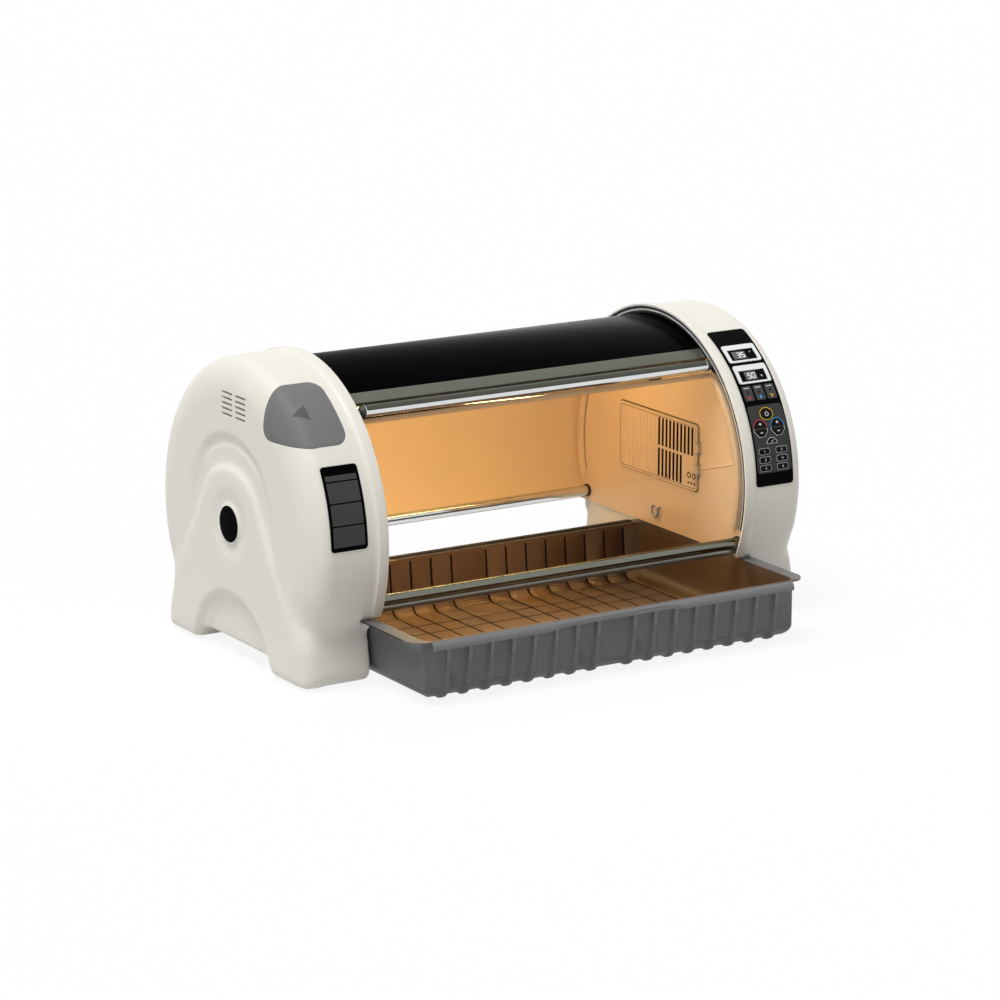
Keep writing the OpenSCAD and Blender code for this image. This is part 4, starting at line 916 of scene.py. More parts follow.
def moulded_housing(name, side, sizes):
    """One end housing: the CAD shell, remeshed and softened like a moulding, with crisp cuts."""
    node = name + "_housing"
    # The CAD's vents, lid and inlet are filled for the remesh, and cut again after it
    vents = block(side * (END_FACE - 12.8 * MM), side * (END_FACE - 4.3 * MM), AXIS.y - 64 * MM,
                  AXIS.y + 36 * MM, AXIS.z + 176 * MM, AXIS.z + 232 * MM)
    parts = [node_mesh(node), vents]
    if side < 0:
        parts.append(node_mesh("service_cover"))
    else:
        low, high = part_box("power_inlet")
        parts.append(block(low.x + 8 * MM, high.x, low.y - MM, high.y + MM, low.z - MM, high.z + MM))
    piece = new_object(node + "_shell", joined(*parts))
    step = piece.modifiers.new("grid", "REMESH")
    step.mode = "VOXEL"
    step.voxel_size = sizes.housing_grid
    finished(piece)
    soften(piece, side, sizes.softening)
    relief(piece, side)
    cut_with(piece, slot_cutters(side), "DIFFERENCE")
    if side < 0:
        lid = new_object("lid_cutter", node_mesh("service_cover"))
        lid.data.shade_smooth()
        grow = lid.modifiers.new("gap", "DISPLACE")
        grow.strength = LID_GAP
        grow.mid_level = 0
        cut_with(piece, finished(lid), "DIFFERENCE")
    else:
        hole = block(low.x - MM, high.x + 9 * MM, low.y - INLET_GAP, high.y + INLET_GAP,
                     low.z - INLET_GAP, high.z + INLET_GAP)
        cut_with(piece, new_object("inlet_cutter", hole), "DIFFERENCE")
    return settle(piece, finish("cream_abs"), "base", nodes=(node,), angle=40)


def end_rim(name, side):
    """Crisp rounded rim round the barrel's end."""
    face, width, high, edge = RIM_FACE, 19 * MM, 282.75 * MM, 1.7 * MM
    front_foot, back_foot = 278.6 * MM, 278.2 * MM
    profile = [(face, front_foot), (face, high - edge)]
    for cx, start in ((face + edge, 180), (face + width - edge, 90)):
        for i in range(5):
            t = LEAN(start - 90 * i / 4)
            profile.append((cx + edge * math.cos(t), high - edge + edge * math.sin(t)))
    profile += [(face + width + 0.4 * MM, back_foot), (face + 6 * MM, back_foot)]
    piece = new_object(name, swept([(side * x, r) for x, r in profile], -25, 205, 120))
    return settle(piece, finish("cream_abs"), "base", slot="housing_plastic")


class BROODER_OT_housings(bpy.types.Operator):
    """Makes the two moulded end housings and their rims"""

    bl_idname = "brooder.housings"
    bl_label = "End housings"

    def execute(self, context):
        for name, side in SIDES:
            moulded_housing(name, side, context.scene.brooder_sizes)
            end_rim(name + "_rim", side)
        return {"FINISHED"}


# ---------------------------------------------------------------- barrel

TRACK_WIDTH, SHADE_LINE_WIDTH = 13.5 * MM, 1.5 * MM


class BROODER_OT_walls(bpy.types.Operator):
    """Makes the inner walls with their tracks, gaskets and ridges, and a line of painted shade at each
    track's inner edge
    """

    bl_idname = "brooder.walls"
    bl_label = "Inner walls"

    def execute(self, context):
        for node in ("left_wall", "right_wall"):
            keep_node(node, finish("tan_abs"))
        dressed("door_tracks", finish("tan_abs"), 1.2, 3)
        # Partly painted: the gaskets' black is also the shade in the rim's gap, and the rings' pale grey is
        # also a highlight line in it
        dressed("rim_gaskets", finish("gasket_rubber"), 1.5, 3)
        dressed("rim_rings", finish("ring_plastic"), 0.5)
        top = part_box("door_tracks")[1].z - AXIS.z - TRACK_WIDTH
        low = top - SHADE_LINE_WIDTH
        for name, side in SIDES:
            face = side * WALL_FACE
            skin = face - side * 0.3 * MM
            slope = ridge(face, (-242, 44), (207, -91), 1.3 * MM, -side)
            settle(new_object(name + "_wall_seam", slope), finish("tan_abs"), "base", slot="wall_plastic")
            # Dark line at the track's inner edge: painted shade
            track_shade = swept([(face, low), (face, top), (skin, top), (skin, low)], -15, 195, 140)
            settle(new_object(name + "_track_shade_line", track_shade), finish("painted_seam_shade"), "base", slot="wall_plastic")
        self.probe()
        return {"FINISHED"}

    def probe(self):
        """Small dark temperature probe in its clip, high on the right wall."""
        stem = ridge(WALL_FACE, (-21, 157.5), (-1, 154.5), 1.5 * MM, -1)
        clip = ridge(WALL_FACE, (-9, 150.5), (-9, 162), 1.9 * MM, -1)
        settle(new_object("wall_probe", joined(stem, clip)), finish("nylon_black"), "base",
               slot="gasket_rubber")


def ridge(face, start, end, radius, way, sides=8):
    """Half-round ridge on a wall's face, between two (y, z) places in mm from the axis."""
    ends = [Vector((face, AXIS.y + y * MM, AXIS.z + z * MM)) for y, z in (start, end)]
    out = Vector((way, 0, 0))
    across = (ends[1] - ends[0]).normalized().cross(out)
    turns = [math.pi * i / sides for i in range(sides + 1)]
    return skinned([[point + across * radius * math.cos(t) + out * radius * 0.7 * math.sin(t)
                     for t in turns] for point in ends])


class BROODER_OT_cover(bpy.types.Operator):
    """Makes the gloss top cover, its lit liner and its metal trim"""

    bl_idname = "brooder.cover"
    bl_label = "Top cover"

    def execute(self, context):
        dressed("top_cover", finish("cover_gloss"), 0.6)
        keep_node("cover_liner", finish("liner_abs"))
        dressed("top_trim", finish("trim_metal"), 0.8, 3)
        keep_node("lamp_holder", finish("nylon_white"))
        keep_node("lamp_strip", finish("lamp"))
        return {"FINISHED"}


class BROODER_OT_rods(bpy.types.Operator):
    """Finishes the tie rods with their collars and bolts, and the sill strip"""

    bl_idname = "brooder.rods"
    bl_label = "Tie rods and sill"

    def execute(self, context):
        # The front rod's darker colour is a painted reflection
        keep_node("front_rod", finish("rod_steel"))
        keep_node("back_rod", finish("chrome"))
        dressed("rod_collars", finish("nylon_black"), 0.6)
        dressed("rod_bolts", finish("steel"), 0.5)
        dressed("front_sill", finish("sill_metal"), 0.8)
        return {"FINISHED"}


# How far the dark strip of painted reflection and the dark plugs of painted shade stand out of the handle
# bar
PROUD = 0.3 * MM


class BROODER_OT_door(bpy.types.Operator):
    """Finishes the clear roll-up door with its handle, rail and shoes"""

    bl_idname = "brooder.door"
    bl_label = "Roll-up door"

    def execute(self, context):
        dressed("door_panel", finish("clear_acrylic"), 0.4)
        keep_node("door_handle", finish("chrome"))
        dressed("handle_mounts", finish("nylon_black"), 0.8)
        dressed("door_rail", finish("rail_amber"), 0.5)
        dressed("door_shoes", finish("nylon_black"), 0.4)
        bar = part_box("door_handle")
        self.reflection_strip(*bar)
        self.plugs(*bar)
        return {"FINISHED"}

    def reflection_strip(self, low, high):
        """Dark strip on the upper side of the handle bar: a painted reflection on the chrome."""
        middle, bar_r = (low + high) / 2, (high.z - low.z) / 2
        first, last = 18, 98

        def lay(u, v, w):
            """A flat drawing's point laid round the bar."""
            a = LEAN((first + last) / 2) + v / bar_r
            return Vector((u, middle.y - (bar_r + w) * math.cos(a), middle.z + (bar_r + w) * math.sin(a)))

        outline = rounded_box_points((high.x - low.x) * 0.965, LEAN(last - first) * bar_r, 2 * MM, 3)
        settle(new_object("handle_reflection_strip", drawing([(outline,)], PROUD, lay, 1.5 * MM)),
               finish("handle_reflection_strip"), "door", slot="trim_metal")

    def plugs(self, low, high):
        """Dark plugs over the round ends of the handle bar; their black is painted shade at the bar's ends.
        """
        middle, bar_r = (low + high) / 2, (high.z - low.z) / 2
        plug_r = bar_r + PROUD
        for name, side in SIDES:
            start = side * (high.x - bar_r)
            profile = [(start - side * MM, plug_r)]
            profile += [(start + side * plug_r * math.sin(LEAN(t)), plug_r * math.cos(LEAN(t)))
                        for t in range(0, 81, 10)]
            settle(new_object(name + "_handle_shade_plug", turned(profile, middle.y, middle.z)),
                   finish("nylon_black"), "door", slot="gasket_rubber")


# ---------------------------------------------------------------- tray

TRAY_FRONT, TRAY_BACK = AXIS.y - 417 * MM, AXIS.y + 55 * MM
TRAY_LOW, TRAY_RIM, TRAY_WALL = 11 * MM, 112 * MM, 3 * MM


def trough_path(inside, top, turn_steps=8):
    """Side view of the trough's skin, moved inwards, from the front wall's top round to the back's."""
    slope, turn = LEAN(6), 22 * MM - inside
    low, front, back = TRAY_LOW + inside, TRAY_FRONT + inside, TRAY_BACK - inside
    inset = (TRAY_RIM - low - turn) * math.tan(slope) + turn / math.cos(slope)
    path = [(front + (TRAY_RIM - top) * math.tan(slope), top)]
    for cy, start, end in ((front + inset, 186, 270), (back - inset, 270, 354)):
        for i in range(turn_steps + 1):
            t = LEAN(start + (end - start) * i / turn_steps)
            path.append((cy + turn * math.cos(t), low + turn + turn * math.sin(t)))
    path.append((back - (TRAY_RIM - top) * math.tan(slope), top))
    return path


def along_trough(path, section_at, inwards=False):
    """Closed sections (x, height off the skin) carried along a path in the tray's side view."""
    rings = []
    for i, (y, z) in enumerate(path):
        before, after = path[max(0, i - 1)], path[min(len(path) - 1, i + 1)]
        way = Vector((after[0] - before[0], after[1] - before[1])).normalized()
        out = Vector((-way.y, way.x)) if inwards else Vector((way.y, -way.x))
        rings.append([(x, y + out.x * h, z + out.y * h) for x, h in section_at(i, z)])
    return skinned(rings)


def rib_seed(sizes):
    """One rib in the tray's middle: narrow on the walls, wider under the floor."""
    path = trough_path(0, 100 * MM)

    def section_at(i, z):
        """The rib's section: low at its two ends, and sunk a little into the skin."""
        wide = float(eased(z, 60 * MM, 14 * MM))
        crest = sizes.rib_crest / 2
        foot = crest + 0.4 * MM + (sizes.rib_foot / 2 - crest) * wide
        height = 4.3 * MM * (0.2 if i in (0, len(path) - 1) else 1.0)
        half = [(foot, -0.6 * MM), (foot, 0.0), (foot * 0.93, height * 0.08), (crest * 1.1, height * 0.86),
                (crest * 0.85, height)]
        return [(-x, h) for x, h in half] + list(reversed(half))

    return along_trough(path, section_at)


def groove_seed():
    """Floor of one rib groove inside the tray, painted dark as shade."""
    half, lift = 1.7 * MM, 0.15 * MM
    section = [(-half, -lift), (-half, lift), (half, lift), (half, -lift)]
    return along_trough(trough_path(TRAY_WALL, 106 * MM), lambda i, z: section, inwards=True)


def raise_grip(bm):
    """Lifts the lower edge of the front lip in the middle, where fingers go under it."""
    inner, outer, lip_top, lift = 95 * MM, 145 * MM, 104 * MM, 4.2 * MM
    cuts = 8
    for side in (-1, 1):
        for i in range(cuts + 1):
            bmesh.ops.bisect_plane(bm, geom=bm.verts[:] + bm.edges[:] + bm.faces[:], plane_no=(1, 0, 0),
                                   plane_co=(side * (inner + (outer - inner) * i / cuts), 0, 0))
    for vert in bm.verts:
        if vert.co.y < TRAY_FRONT - MM and vert.co.z < lip_top:
            vert.co.z += lift * float(eased(abs(vert.co.x), outer, inner))


def mark_inside(tray):
    """Attribute that is 1 on the faces that look into the trough and on the flange's top."""
    mesh = tray.data
    middle = Vector((0, (TRAY_FRONT + TRAY_BACK) / 2, TRAY_RIM * 1.5))
    marks = mesh.attributes.new("inside", "FLOAT", "FACE")
    for face, mark in zip(mesh.polygons, marks.data):
        spot = face.center
        inner = (TRAY_FRONT + MM < spot.y < TRAY_BACK - MM and abs(spot.x) < 368 * MM
                 and spot.z > TRAY_LOW + TRAY_WALL / 2)
        mark.value = float(inner and face.normal.dot(middle - spot) > 0)


def flange_seal_and_shade():
    """Black strips on the edge of the tray's flange, both sides and the back, and raised on the back;
    partly a seal and partly painted shadow under the flange's edge.
    """
    low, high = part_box("tray")
    bottom, top = TRAY_RIM - 2.7 * MM, TRAY_RIM - 0.3 * MM
    front, corner, inset, proud = TRAY_FRONT + 34 * MM, 12 * MM, 1.2 * MM, 0.9 * MM
    strips = [block(side * (high.x - inset), side * (high.x + proud), front, high.y - corner, bottom, top)
              for side in (-1, 1)]
    strips.append(block(low.x + corner, high.x - corner, high.y - inset, high.y + proud * 0.4, bottom, top))
    strips.append(block(-350 * MM, 350 * MM, high.y - 14 * MM, high.y - 2 * MM, top, TRAY_RIM + 2.4 * MM))
    return joined(*strips)


class BROODER_OT_tray(bpy.types.Operator):
    """Makes the tray with its finger grip, ribs, grooves painted dark as shade, its seal, partly painted
    shadow, and runners
    """

    bl_idname = "brooder.tray"
    bl_label = "Tray"

    def execute(self, context):
        bm = node_mesh("tray")
        raise_grip(bm)
        tray = new_object("tray_piece", bm)
        mark_inside(tray)
        settle(tray, finish("tray_tinted_with_painted_light"), "tray", nodes=("tray",), angle=28)
        rows = {"Ribs Each Side": 8, "Pitch": 41.4 * MM, "Middle Gap": 71.8 * MM}
        ribs = by_rule("tray_ribs", rib_rows_tree(), {**rows, "Material": finish("tray_pp")},
                       rib_seed(context.scene.brooder_sizes))
        settle(ribs, finish("tray_pp"), "tray", slot="tray_plastic", angle=60)
        lines = by_rule("tray_groove_shade", rib_rows_tree(), {**rows, "Material": finish("groove_dark")},
                        groove_seed())
        settle(lines, finish("groove_dark"), "tray", slot="tray_plastic")
        # The dark strips across the floor are painted shade of grooves
        floor, half, reach = TRAY_LOW + TRAY_WALL, 1.1 * MM, 325 * MM
        middles = [TRAY_FRONT + share * (TRAY_BACK - TRAY_FRONT) for share in (0.715, 0.81)]
        cross = [block(-reach, reach, y - half, y + half, floor - MM, floor + 0.12 * MM) for y in middles]
        settle(new_object("tray_cross_groove_shade", joined(*cross)), finish("groove_dark"), "tray",
               slot="tray_plastic")
        settle(bevelled(new_object("tray_seal_and_shade", flange_seal_and_shade()), 0.3 * MM), finish("gasket_rubber"), "tray",
               slot="gasket_rubber")
        keep_node("tray_runners", finish("nylon_white"))
        return {"FINISHED"}


# ---------------------------------------------------------------- wall fittings

GRILLE_MID = AXIS + Vector((0, -2.5 * MM, 29 * MM))
GRILLE_WIDE, GRILLE_TALL, GRILLE_ROUND, GRILLE_STAND = 243 * MM, 119 * MM, 6 * MM, 4.4 * MM
# Height of a line or mark on a surface
LINE = 0.25 * MM


class BROODER_OT_grille(bpy.types.Operator):
    """Finishes the hinged air grille, its pins and the sensor hook"""

    bl_idname = "brooder.grille"
    bl_label = "Air grille"

    def execute(self, context):
        dressed("grille_door", finish("tan_abs"), 0.4, 1)
        face = WALL_FACE - GRILLE_STAND
        self.screen(face)
        # Dark lines round the grille and inside its border: painted shade
        self.outline("grille_shade_outline", WALL_FACE, 0.0, 2.6 * MM, "base")
        self.outline("grille_inner_shade_line", face, -4.6 * MM, 0.9 * MM, "grille")
        self.lock_marks(face)
        keep_node("grille_pins", finish("steel"))
        keep_node("sensor_hook", finish("steel"))
        return {"FINISHED"}

    def screen(self, face):
        """Dark sheet behind the slots, in the grille's front half: painted shade in the slots."""
        y, z, border = GRILLE_MID.y, GRILLE_MID.z, 3 * MM
        sheet = block(face + 0.3 * MM, face + 0.8 * MM, y - GRILLE_WIDE / 2 + border, y - 2 * MM,
                      z - GRILLE_TALL / 2 + border, z + GRILLE_TALL / 2 - border)
        settle(bevelled(new_object("grille_shade_sheet", sheet), 0.1 * MM), finish("shade_and_mark_black"), "grille",
               slot="gasket_rubber")

    def outline(self, name, x, grow, width, body):
        """Thin dark line of painted shade round the grille, grown out from its edge, on the face at x."""
        loops = [rounded_box_points(GRILLE_WIDE + 2 * by, GRILLE_TALL + 2 * by,
                                    GRILLE_ROUND + max(by, -4 * MM)) for by in (grow + width, grow)]
        lay = lambda u, v, w: Vector((x - w, GRILLE_MID.y + u, GRILLE_MID.z + v))
        settle(new_object(name, drawing([loops], LINE, lay)), finish("painted_seam_shade"), body,
               slot="wall_plastic")

    def lock_marks(self, face):
        """Two ring marks and small bars in the grille's lower front corner."""
        spot = Vector((face, AXIS.y - 110 * MM, AXIS.z - 4 * MM))
        lay = lambda u, v, w: spot + Vector((-w, u, v))
        loops = [[disc_points(r * MM, k * 7.4 * MM) for r in (5.6, 3.6)] for k in (-1, 1)]
        bar = rounded_box_points(5 * MM, 3.2 * MM, 0.8 * MM, 2)
        loops += [([(u + k * 9 * MM, v - 14 * MM) for u, v in bar],) for k in (-1, 0, 1)]
        settle(new_object("grille_marks", drawing(loops, LINE, lay)), finish("shade_and_mark_black"), "grille",
               slot="gasket_rubber")


# ---------------------------------------------------------------- left housing's fittings

class BROODER_OT_service(bpy.types.Operator):
    """Finishes the service cover with its raised arrow, the plate and the hub discs"""

    bl_idname = "brooder.service"
    bl_label = "Service cover and plates"

    def execute(self, context):
        self.arrow(dressed("service_cover", finish("service_abs"), 0.5, 2))
        self.plate()
        dressed("hub_discs", finish("label_film"), 0.5, 3)
        return {"FINISHED"}

    def arrow(self, cover):
        """Arrow of raised bars, set down on the cover along the barrel's radii."""
        bpy.context.view_layer.update()
        # The bars are painted darker as shade
        bars = by_rule("cover_arrow", arrow_bars_tree(), {
            "Bars": 8, "Pitch": 3.5 * MM, "Shortest": 3 * MM, "Growth": 3.7 * MM, "Bar Width": 1.7 * MM,
            "Relief": 1.0 * MM, "Material": finish("service_mark")})
        for vert in bars.data.vertices:
            spot = on_drum(vert.co.x, vert.co.y, 20 * MM, -472 * MM, 51.2, DRUM_R)
            out = Vector((0, spot.y - AXIS.y, spot.z - AXIS.z)).normalized()
            met, place, *_ = cover.ray_cast(spot, -out)
            if not met:
                raise RuntimeError("The arrow doesn't lie on the service cover")
            vert.co = place + out * vert.co.z
        settle(bars, finish("service_mark"), "service_lid", slot="service_grey")

    def plate(self):
        """Bare plate on the housing's front, with its four plain sections."""
        low, high, border = -462.5 * MM, -394.5 * MM, 5 * MM
        plate = rounded_plate(low, high, 1.4, 30.3, DRUM_R + 0.2 * MM, 0.8 * MM, 6 * MM)
        settle(new_object("info_plate_piece", plate), finish("label_film"), "base", nodes=("info_plate",))
        cells = [rounded_plate(low + border, high - border, a0, a1, DRUM_R + MM, 0.15 * MM, 1.6 * MM)
                 for a0, a1 in ((2.9, 9.7), (10.2, 17.2), (17.7, 24.6), (25.1, 27.0))]
        settle(new_object("info_plate_cells", joined(*cells)), finish("cell_film"), "base",
               slot="cell_grey")


def rounded_plate(x0, x1, a0, a1, r, thickness, corner):
    """Plate with rounded corners laid round the drum between two x places and two angles."""
    height = LEAN(a1 - a0) * r
    middle = ((x0 + x1) / 2, (a0 + a1) / 2)
    outline = rounded_box_points(x1 - x0, height, corner)
    return drawing([(outline,)], thickness, lambda u, v, w: on_drum(u, v, w, *middle, r))


# ---------------------------------------------------------------- control panel

# Height of a print and of a sign on a key; the panel's middle and the steps between its cells, along x
PRINT, KEY_PRINT = 0.1 * MM, 0.12 * MM
PANEL_MID, CELL_STEP = 419.0, 23.8


def cut_round(node, spans, corner, material):
    """The CAD plate or plates with their outer corners rounded."""
    bm = node_mesh(node)
    bmesh.ops.dissolve_limit(bm, angle_limit=LEAN(0.2), verts=bm.verts, edges=bm.edges)
    bmesh.ops.triangulate(bm, faces=bm.faces)
    piece = new_object(node + "_piece", bm)
    tools = [rounded_plate(x0, x1, a0, a1, DRUM_R - 3 * MM, 9 * MM, corner) for x0, x1, a0, a1 in spans]
    cut_with(piece, new_object("corner_cutter", joined(*tools)), "INTERSECT")
    return settle(piece, material, "base", nodes=(node,))


# The lit bars of each digit, and each bar's place across and up and whether it lies flat
SEGMENTS = {"0": "abcdef", "3": "abcdg", "5": "acdfg"}
BARS = {"a": (0, 1, 1), "g": (0, 0, 1), "d": (0, -1, 1), "f": (-1, 0.5, 0), "b": (1, 0.5, 0),
        "e": (-1, -0.5, 0), "c": (1, -0.5, 0)}


def lit_digits(word, height, x, a, r):
    """Leaning digits of up to seven bars each, laid on the display."""
    half, t, gap, lean = height * 0.26, height * 0.075, height * 0.02, 0.08
    loops = []
    for i, digit in enumerate(word):
        shift = (i - (len(word) - 1) / 2) * height * 0.74
        for key in SEGMENTS[digit]:
            sx, sy, flat = BARS[key]
            cx, cy = shift + sx * half, sy * (height / 2 - t)
            w, h = (half - gap, t) if flat else (t, height / 4 - t / 2 - gap)
            bar = rounded_box_points(2 * w, 2 * h, min(w, h) * 0.6, 2)
            loops.append(([(cx + u, cy + v) for u, v in bar],))
    return drawing(loops, PRINT, lambda u, v, w: on_drum(u + v * lean, v, w, x, a, r))


def stroke(points, width):
    """Open line of a given width as an outer and an inner edge."""
    left, right = [], []
    for i, p in enumerate(points):
        a, b = Vector(points[max(0, i - 1)]), Vector(points[min(len(points) - 1, i + 1)])
        way = (b - a).normalized()
        side = Vector((-way.y, way.x)) * width / 2
        left.append(tuple(Vector(p) + side))
        right.append(tuple(Vector(p) - side))
    return left, right


def line_mesh(strokes, thickness, lay):
    """Thin lines between their two edges, laid on a surface."""
    bm = bmesh.new()
    for left, right in strokes:
        for i in range(len(left) - 1):
            quad = [bm.verts.new((*p, 0)) for p in (left[i], left[i + 1], right[i + 1], right[i])]
            bm.faces.new(quad)
    bmesh.ops.remove_doubles(bm, verts=bm.verts, dist=MERGE / 10)
    return laid(bm, thickness, lay)


def disc_points(radius, cx, count=20):
    """Outline of a disc."""
    turns = [2 * math.pi * i / count for i in range(count)]
    return [(cx + radius * math.cos(t), radius * math.sin(t)) for t in turns]


class BROODER_OT_panel_plates(bpy.types.Operator):
    """Makes the control panel's plates, displays, digits and indicator signs"""

    bl_idname = "brooder.panel_plates"
    bl_label = "Control panel"

    def execute(self, context):
        cut_round("panel_overlay", [(380 * MM, 458 * MM, 1.5, 64.2)], 6 * MM, finish("panel_film"))
        cut_round("keypad", [(383 * MM, 455 * MM, 6.2, 30.5)], 6 * MM, finish("keypad_grey"))
        cut_round("display_bezels", [(385 * MM, 453 * MM, 48, 55.9), (385 * MM, 453 * MM, 39.1, 46.6)],
                  4 * MM, finish("frame_white"))
        keep_node("lcd_screens", finish("lcd_glass"))
        cells = [PANEL_MID + k * CELL_STEP for k in (-1, 0, 1)]
        cut_round("indicator_cells", [((x - 9.75) * MM, (x + 9.75) * MM, 32.5, 38.2) for x in cells],
                  2.4 * MM, finish("cell_film"))
        dressed("indicator_lights", finish("light_off"), 0.4, 3)
        self.display_contents()
        self.indicator_signs(cells)
        return {"FINISHED"}

    def display_contents(self):
        """Lit fields, digits and units of the two displays."""
        glass, field = PANEL_R + 0.7 * MM, 0.12 * MM
        fields = [rounded_plate(399 * MM, 426 * MM, 49.5, 52.9, glass, field, 0.8 * MM),
                  rounded_plate(403 * MM, 427 * MM, 40.4, 43.8, glass, field, 0.8 * MM)]
        settle(new_object("display_fields", joined(*fields)), finish("lcd_field"), "base", slot="lcd_glass")
        digits = [lit_digits("35", 11.5 * MM, 416 * MM, 51.2, glass + field),
                  lit_digits("50", 11.5 * MM, 416 * MM, 42.1, glass + field),
                  sign("°", 9 * MM, PRINT, lambda u, v, w: on_drum(u, v, w, 437 * MM, 51.6, glass)),
                  sign("%", 6 * MM, PRINT, lambda u, v, w: on_drum(u, v, w, 437 * MM, 41.6, glass))]
        settle(new_object("display_digits", joined(*digits)), finish("digit"), "base", slot="bezel_white")

    def indicator_signs(self, cells):
        """Waves for heat, a drop for water, blades for the fan, and a bar over each."""
        top, low = PANEL_R + 0.4 * MM, 33.7
        lays = [lambda u, v, w, x=x: on_drum(u, v, w, x * MM, low, top) for x in cells]
        waves = [stroke([((k * 2.4 + 0.9 * math.sin(t * 0.9)) * MM, (t * 0.62 - 2.8) * MM)
                         for t in range(10)], 0.9 * MM) for k in (-1, 0, 1)]
        settle(new_object("heat_sign", line_mesh(waves, PRINT, lays[0])), finish("ink_red"), "base",
               slot="light_red")
        bulb = 2.6 * MM
        drop = [(bulb * math.sin(LEAN(t)), -bulb * math.cos(LEAN(t)) - 0.8 * MM)
                for t in range(-125, 126, 25)] + [(0.0, 3.6 * MM)]
        settle(new_object("water_sign", drawing([(drop,)], PRINT, lays[1])), finish("ink_blue"), "base",
               slot="lcd_glass")
        steps = [t * math.pi / 7 for t in range(14)]
        blade = [(2.4 * MM + 1.9 * MM * math.cos(t), 1.15 * MM * math.sin(t)) for t in steps]
        turns = [(math.cos(LEAN(a)), math.sin(LEAN(a))) for a in (20, 140, 260)]
        blades = [([(u * cos - v * sin, u * sin + v * cos) for u, v in blade],) for cos, sin in turns]
        settle(new_object("fan_sign", drawing(blades, PRINT, lays[2])), finish("ink_yellow"), "base",
               slot="bezel_white")
        ticks = [rounded_plate((x - 6) * MM, (x + 6) * MM, 37.25, 37.5, top, PRINT, 0.3 * MM)
                 for x in cells]
        settle(new_object("indicator_marks", joined(*ticks)), finish("ink_white"), "base",
               slot="bezel_white")


# ---------------------------------------------------------------- keys

def pointed(w, h, down=False):
    """Outline of a key that narrows upwards, or downwards, from its straight edge; sizes in mm."""
    points = [(-w, 0), (w, 0), (w, 0.28 * h), (0.38 * w, h), (-0.38 * w, h), (-w, 0.28 * h)]
    if down:
        points = [(u, -v) for u, v in reversed(points)]
    return [(u * MM, v * MM) for u, v in points]


def eight_sided(w, h):
    """Outline of an eight-sided key; half sizes in mm."""
    corners = [LEAN(45 * i + 22.5) for i in range(8)]
    flat = math.cos(LEAN(22.5))
    return [(w * MM * math.cos(t) / flat, h * MM * math.sin(t) / flat) for t in corners]


# Each key's place along x in mm, its angle up from the front and its outline
COLUMNS, SMALL_ROWS = (400.28, 436.16), (13.95, 10.95, 8.0)
KEYS = {
    "power_key": (PANEL_MID, 27.2, eight_sided(11.6, 9.4)),
    "temp_up_key": (COLUMNS[0], 22.45, pointed(12.6, 12.4)),
    "temp_down_key": (COLUMNS[0], 21.75, pointed(12.6, 12.4, True)),
    "humidity_up_key": (COLUMNS[1], 22.45, pointed(12.6, 12.4)),
    "humidity_down_key": (COLUMNS[1], 21.75, pointed(12.6, 12.4, True)),
    "confirm_key": (PANEL_MID, 16.7, pointed(9.6, 8)),
}
KEYS.update({f"small_key_{i + 1}": (COLUMNS[i % 2], SMALL_ROWS[i // 2],
                                    rounded_box_points(21 * MM, 8.8 * MM, 2.6 * MM, 3))
             for i in range(6)})
# Colours of the lines round the keys; the small keys' lines are grey
LINE_INKS = {"power_key": "ink_yellow", "temp_up_key": "ink_red", "humidity_up_key": "ink_blue",
             "temp_down_key": "ink_white", "humidity_down_key": "ink_white", "confirm_key": "ink_white"}


def key_sign(name, x, a):
    """The white sign on a key."""
    thin, bold, half = 1.0 * MM, 1.5 * MM, 2.6 * MM
    lay = lambda u, v, w: on_key(u, v, w, x * MM, a, KEY_TOP)
    if name == "power_key":
        r = 3.6 * MM
        ring = stroke([(r * math.sin(LEAN(t)), r * math.cos(LEAN(t)) - 0.6 * MM)
                       for t in range(40, 321, 20)], thin)
        strokes = [ring, stroke([(0, 0.4 * MM), (0, 4.4 * MM)], thin)]
    elif name.endswith("up_key"):
        strokes = [stroke([(-half, 6 * MM), (half, 6 * MM)], bold),
                   stroke([(0, 3.4 * MM), (0, 5.25 * MM)], bold),
                   stroke([(0, 6.75 * MM), (0, 8.6 * MM)], bold)]
    elif name.endswith("down_key"):
        strokes = [stroke([(-half, -6 * MM), (half, -6 * MM)], bold)]
    elif name == "confirm_key":
        strokes = [stroke([(-half, 3 * MM), (-0.8 * MM, 1.2 * MM), (2.8 * MM, 5 * MM)], thin)]
    else:
        return sign(name[-1], 6.5 * MM, KEY_PRINT, lay)
    return line_mesh(strokes, KEY_PRINT, lay)


def key_outline(name, x, a, outline):
    """Printed line round a key on the keypad, open where an up and a down key meet."""
    lay = lambda u, v, w: on_drum(u, v, w, x * MM, a, KEYPAD_TOP - 0.02 * MM)
    gap = 0.6 * MM
    wide = 1.3 * MM if name in ("power_key", "temp_up_key", "humidity_up_key") else 0.8 * MM
    inner, outer = grown(outline, gap), grown(outline, gap + wide)
    if name.endswith(("up_key", "down_key")):
        first = 1 if name.endswith("up_key") else 5
        order = [(first + i) % 6 for i in range(6)]
        return line_mesh([([outer[i] for i in order], [inner[i] for i in order])], KEY_PRINT, lay)
    return drawing([(outer, inner)], KEY_PRINT, lay, cut=50 * MM)


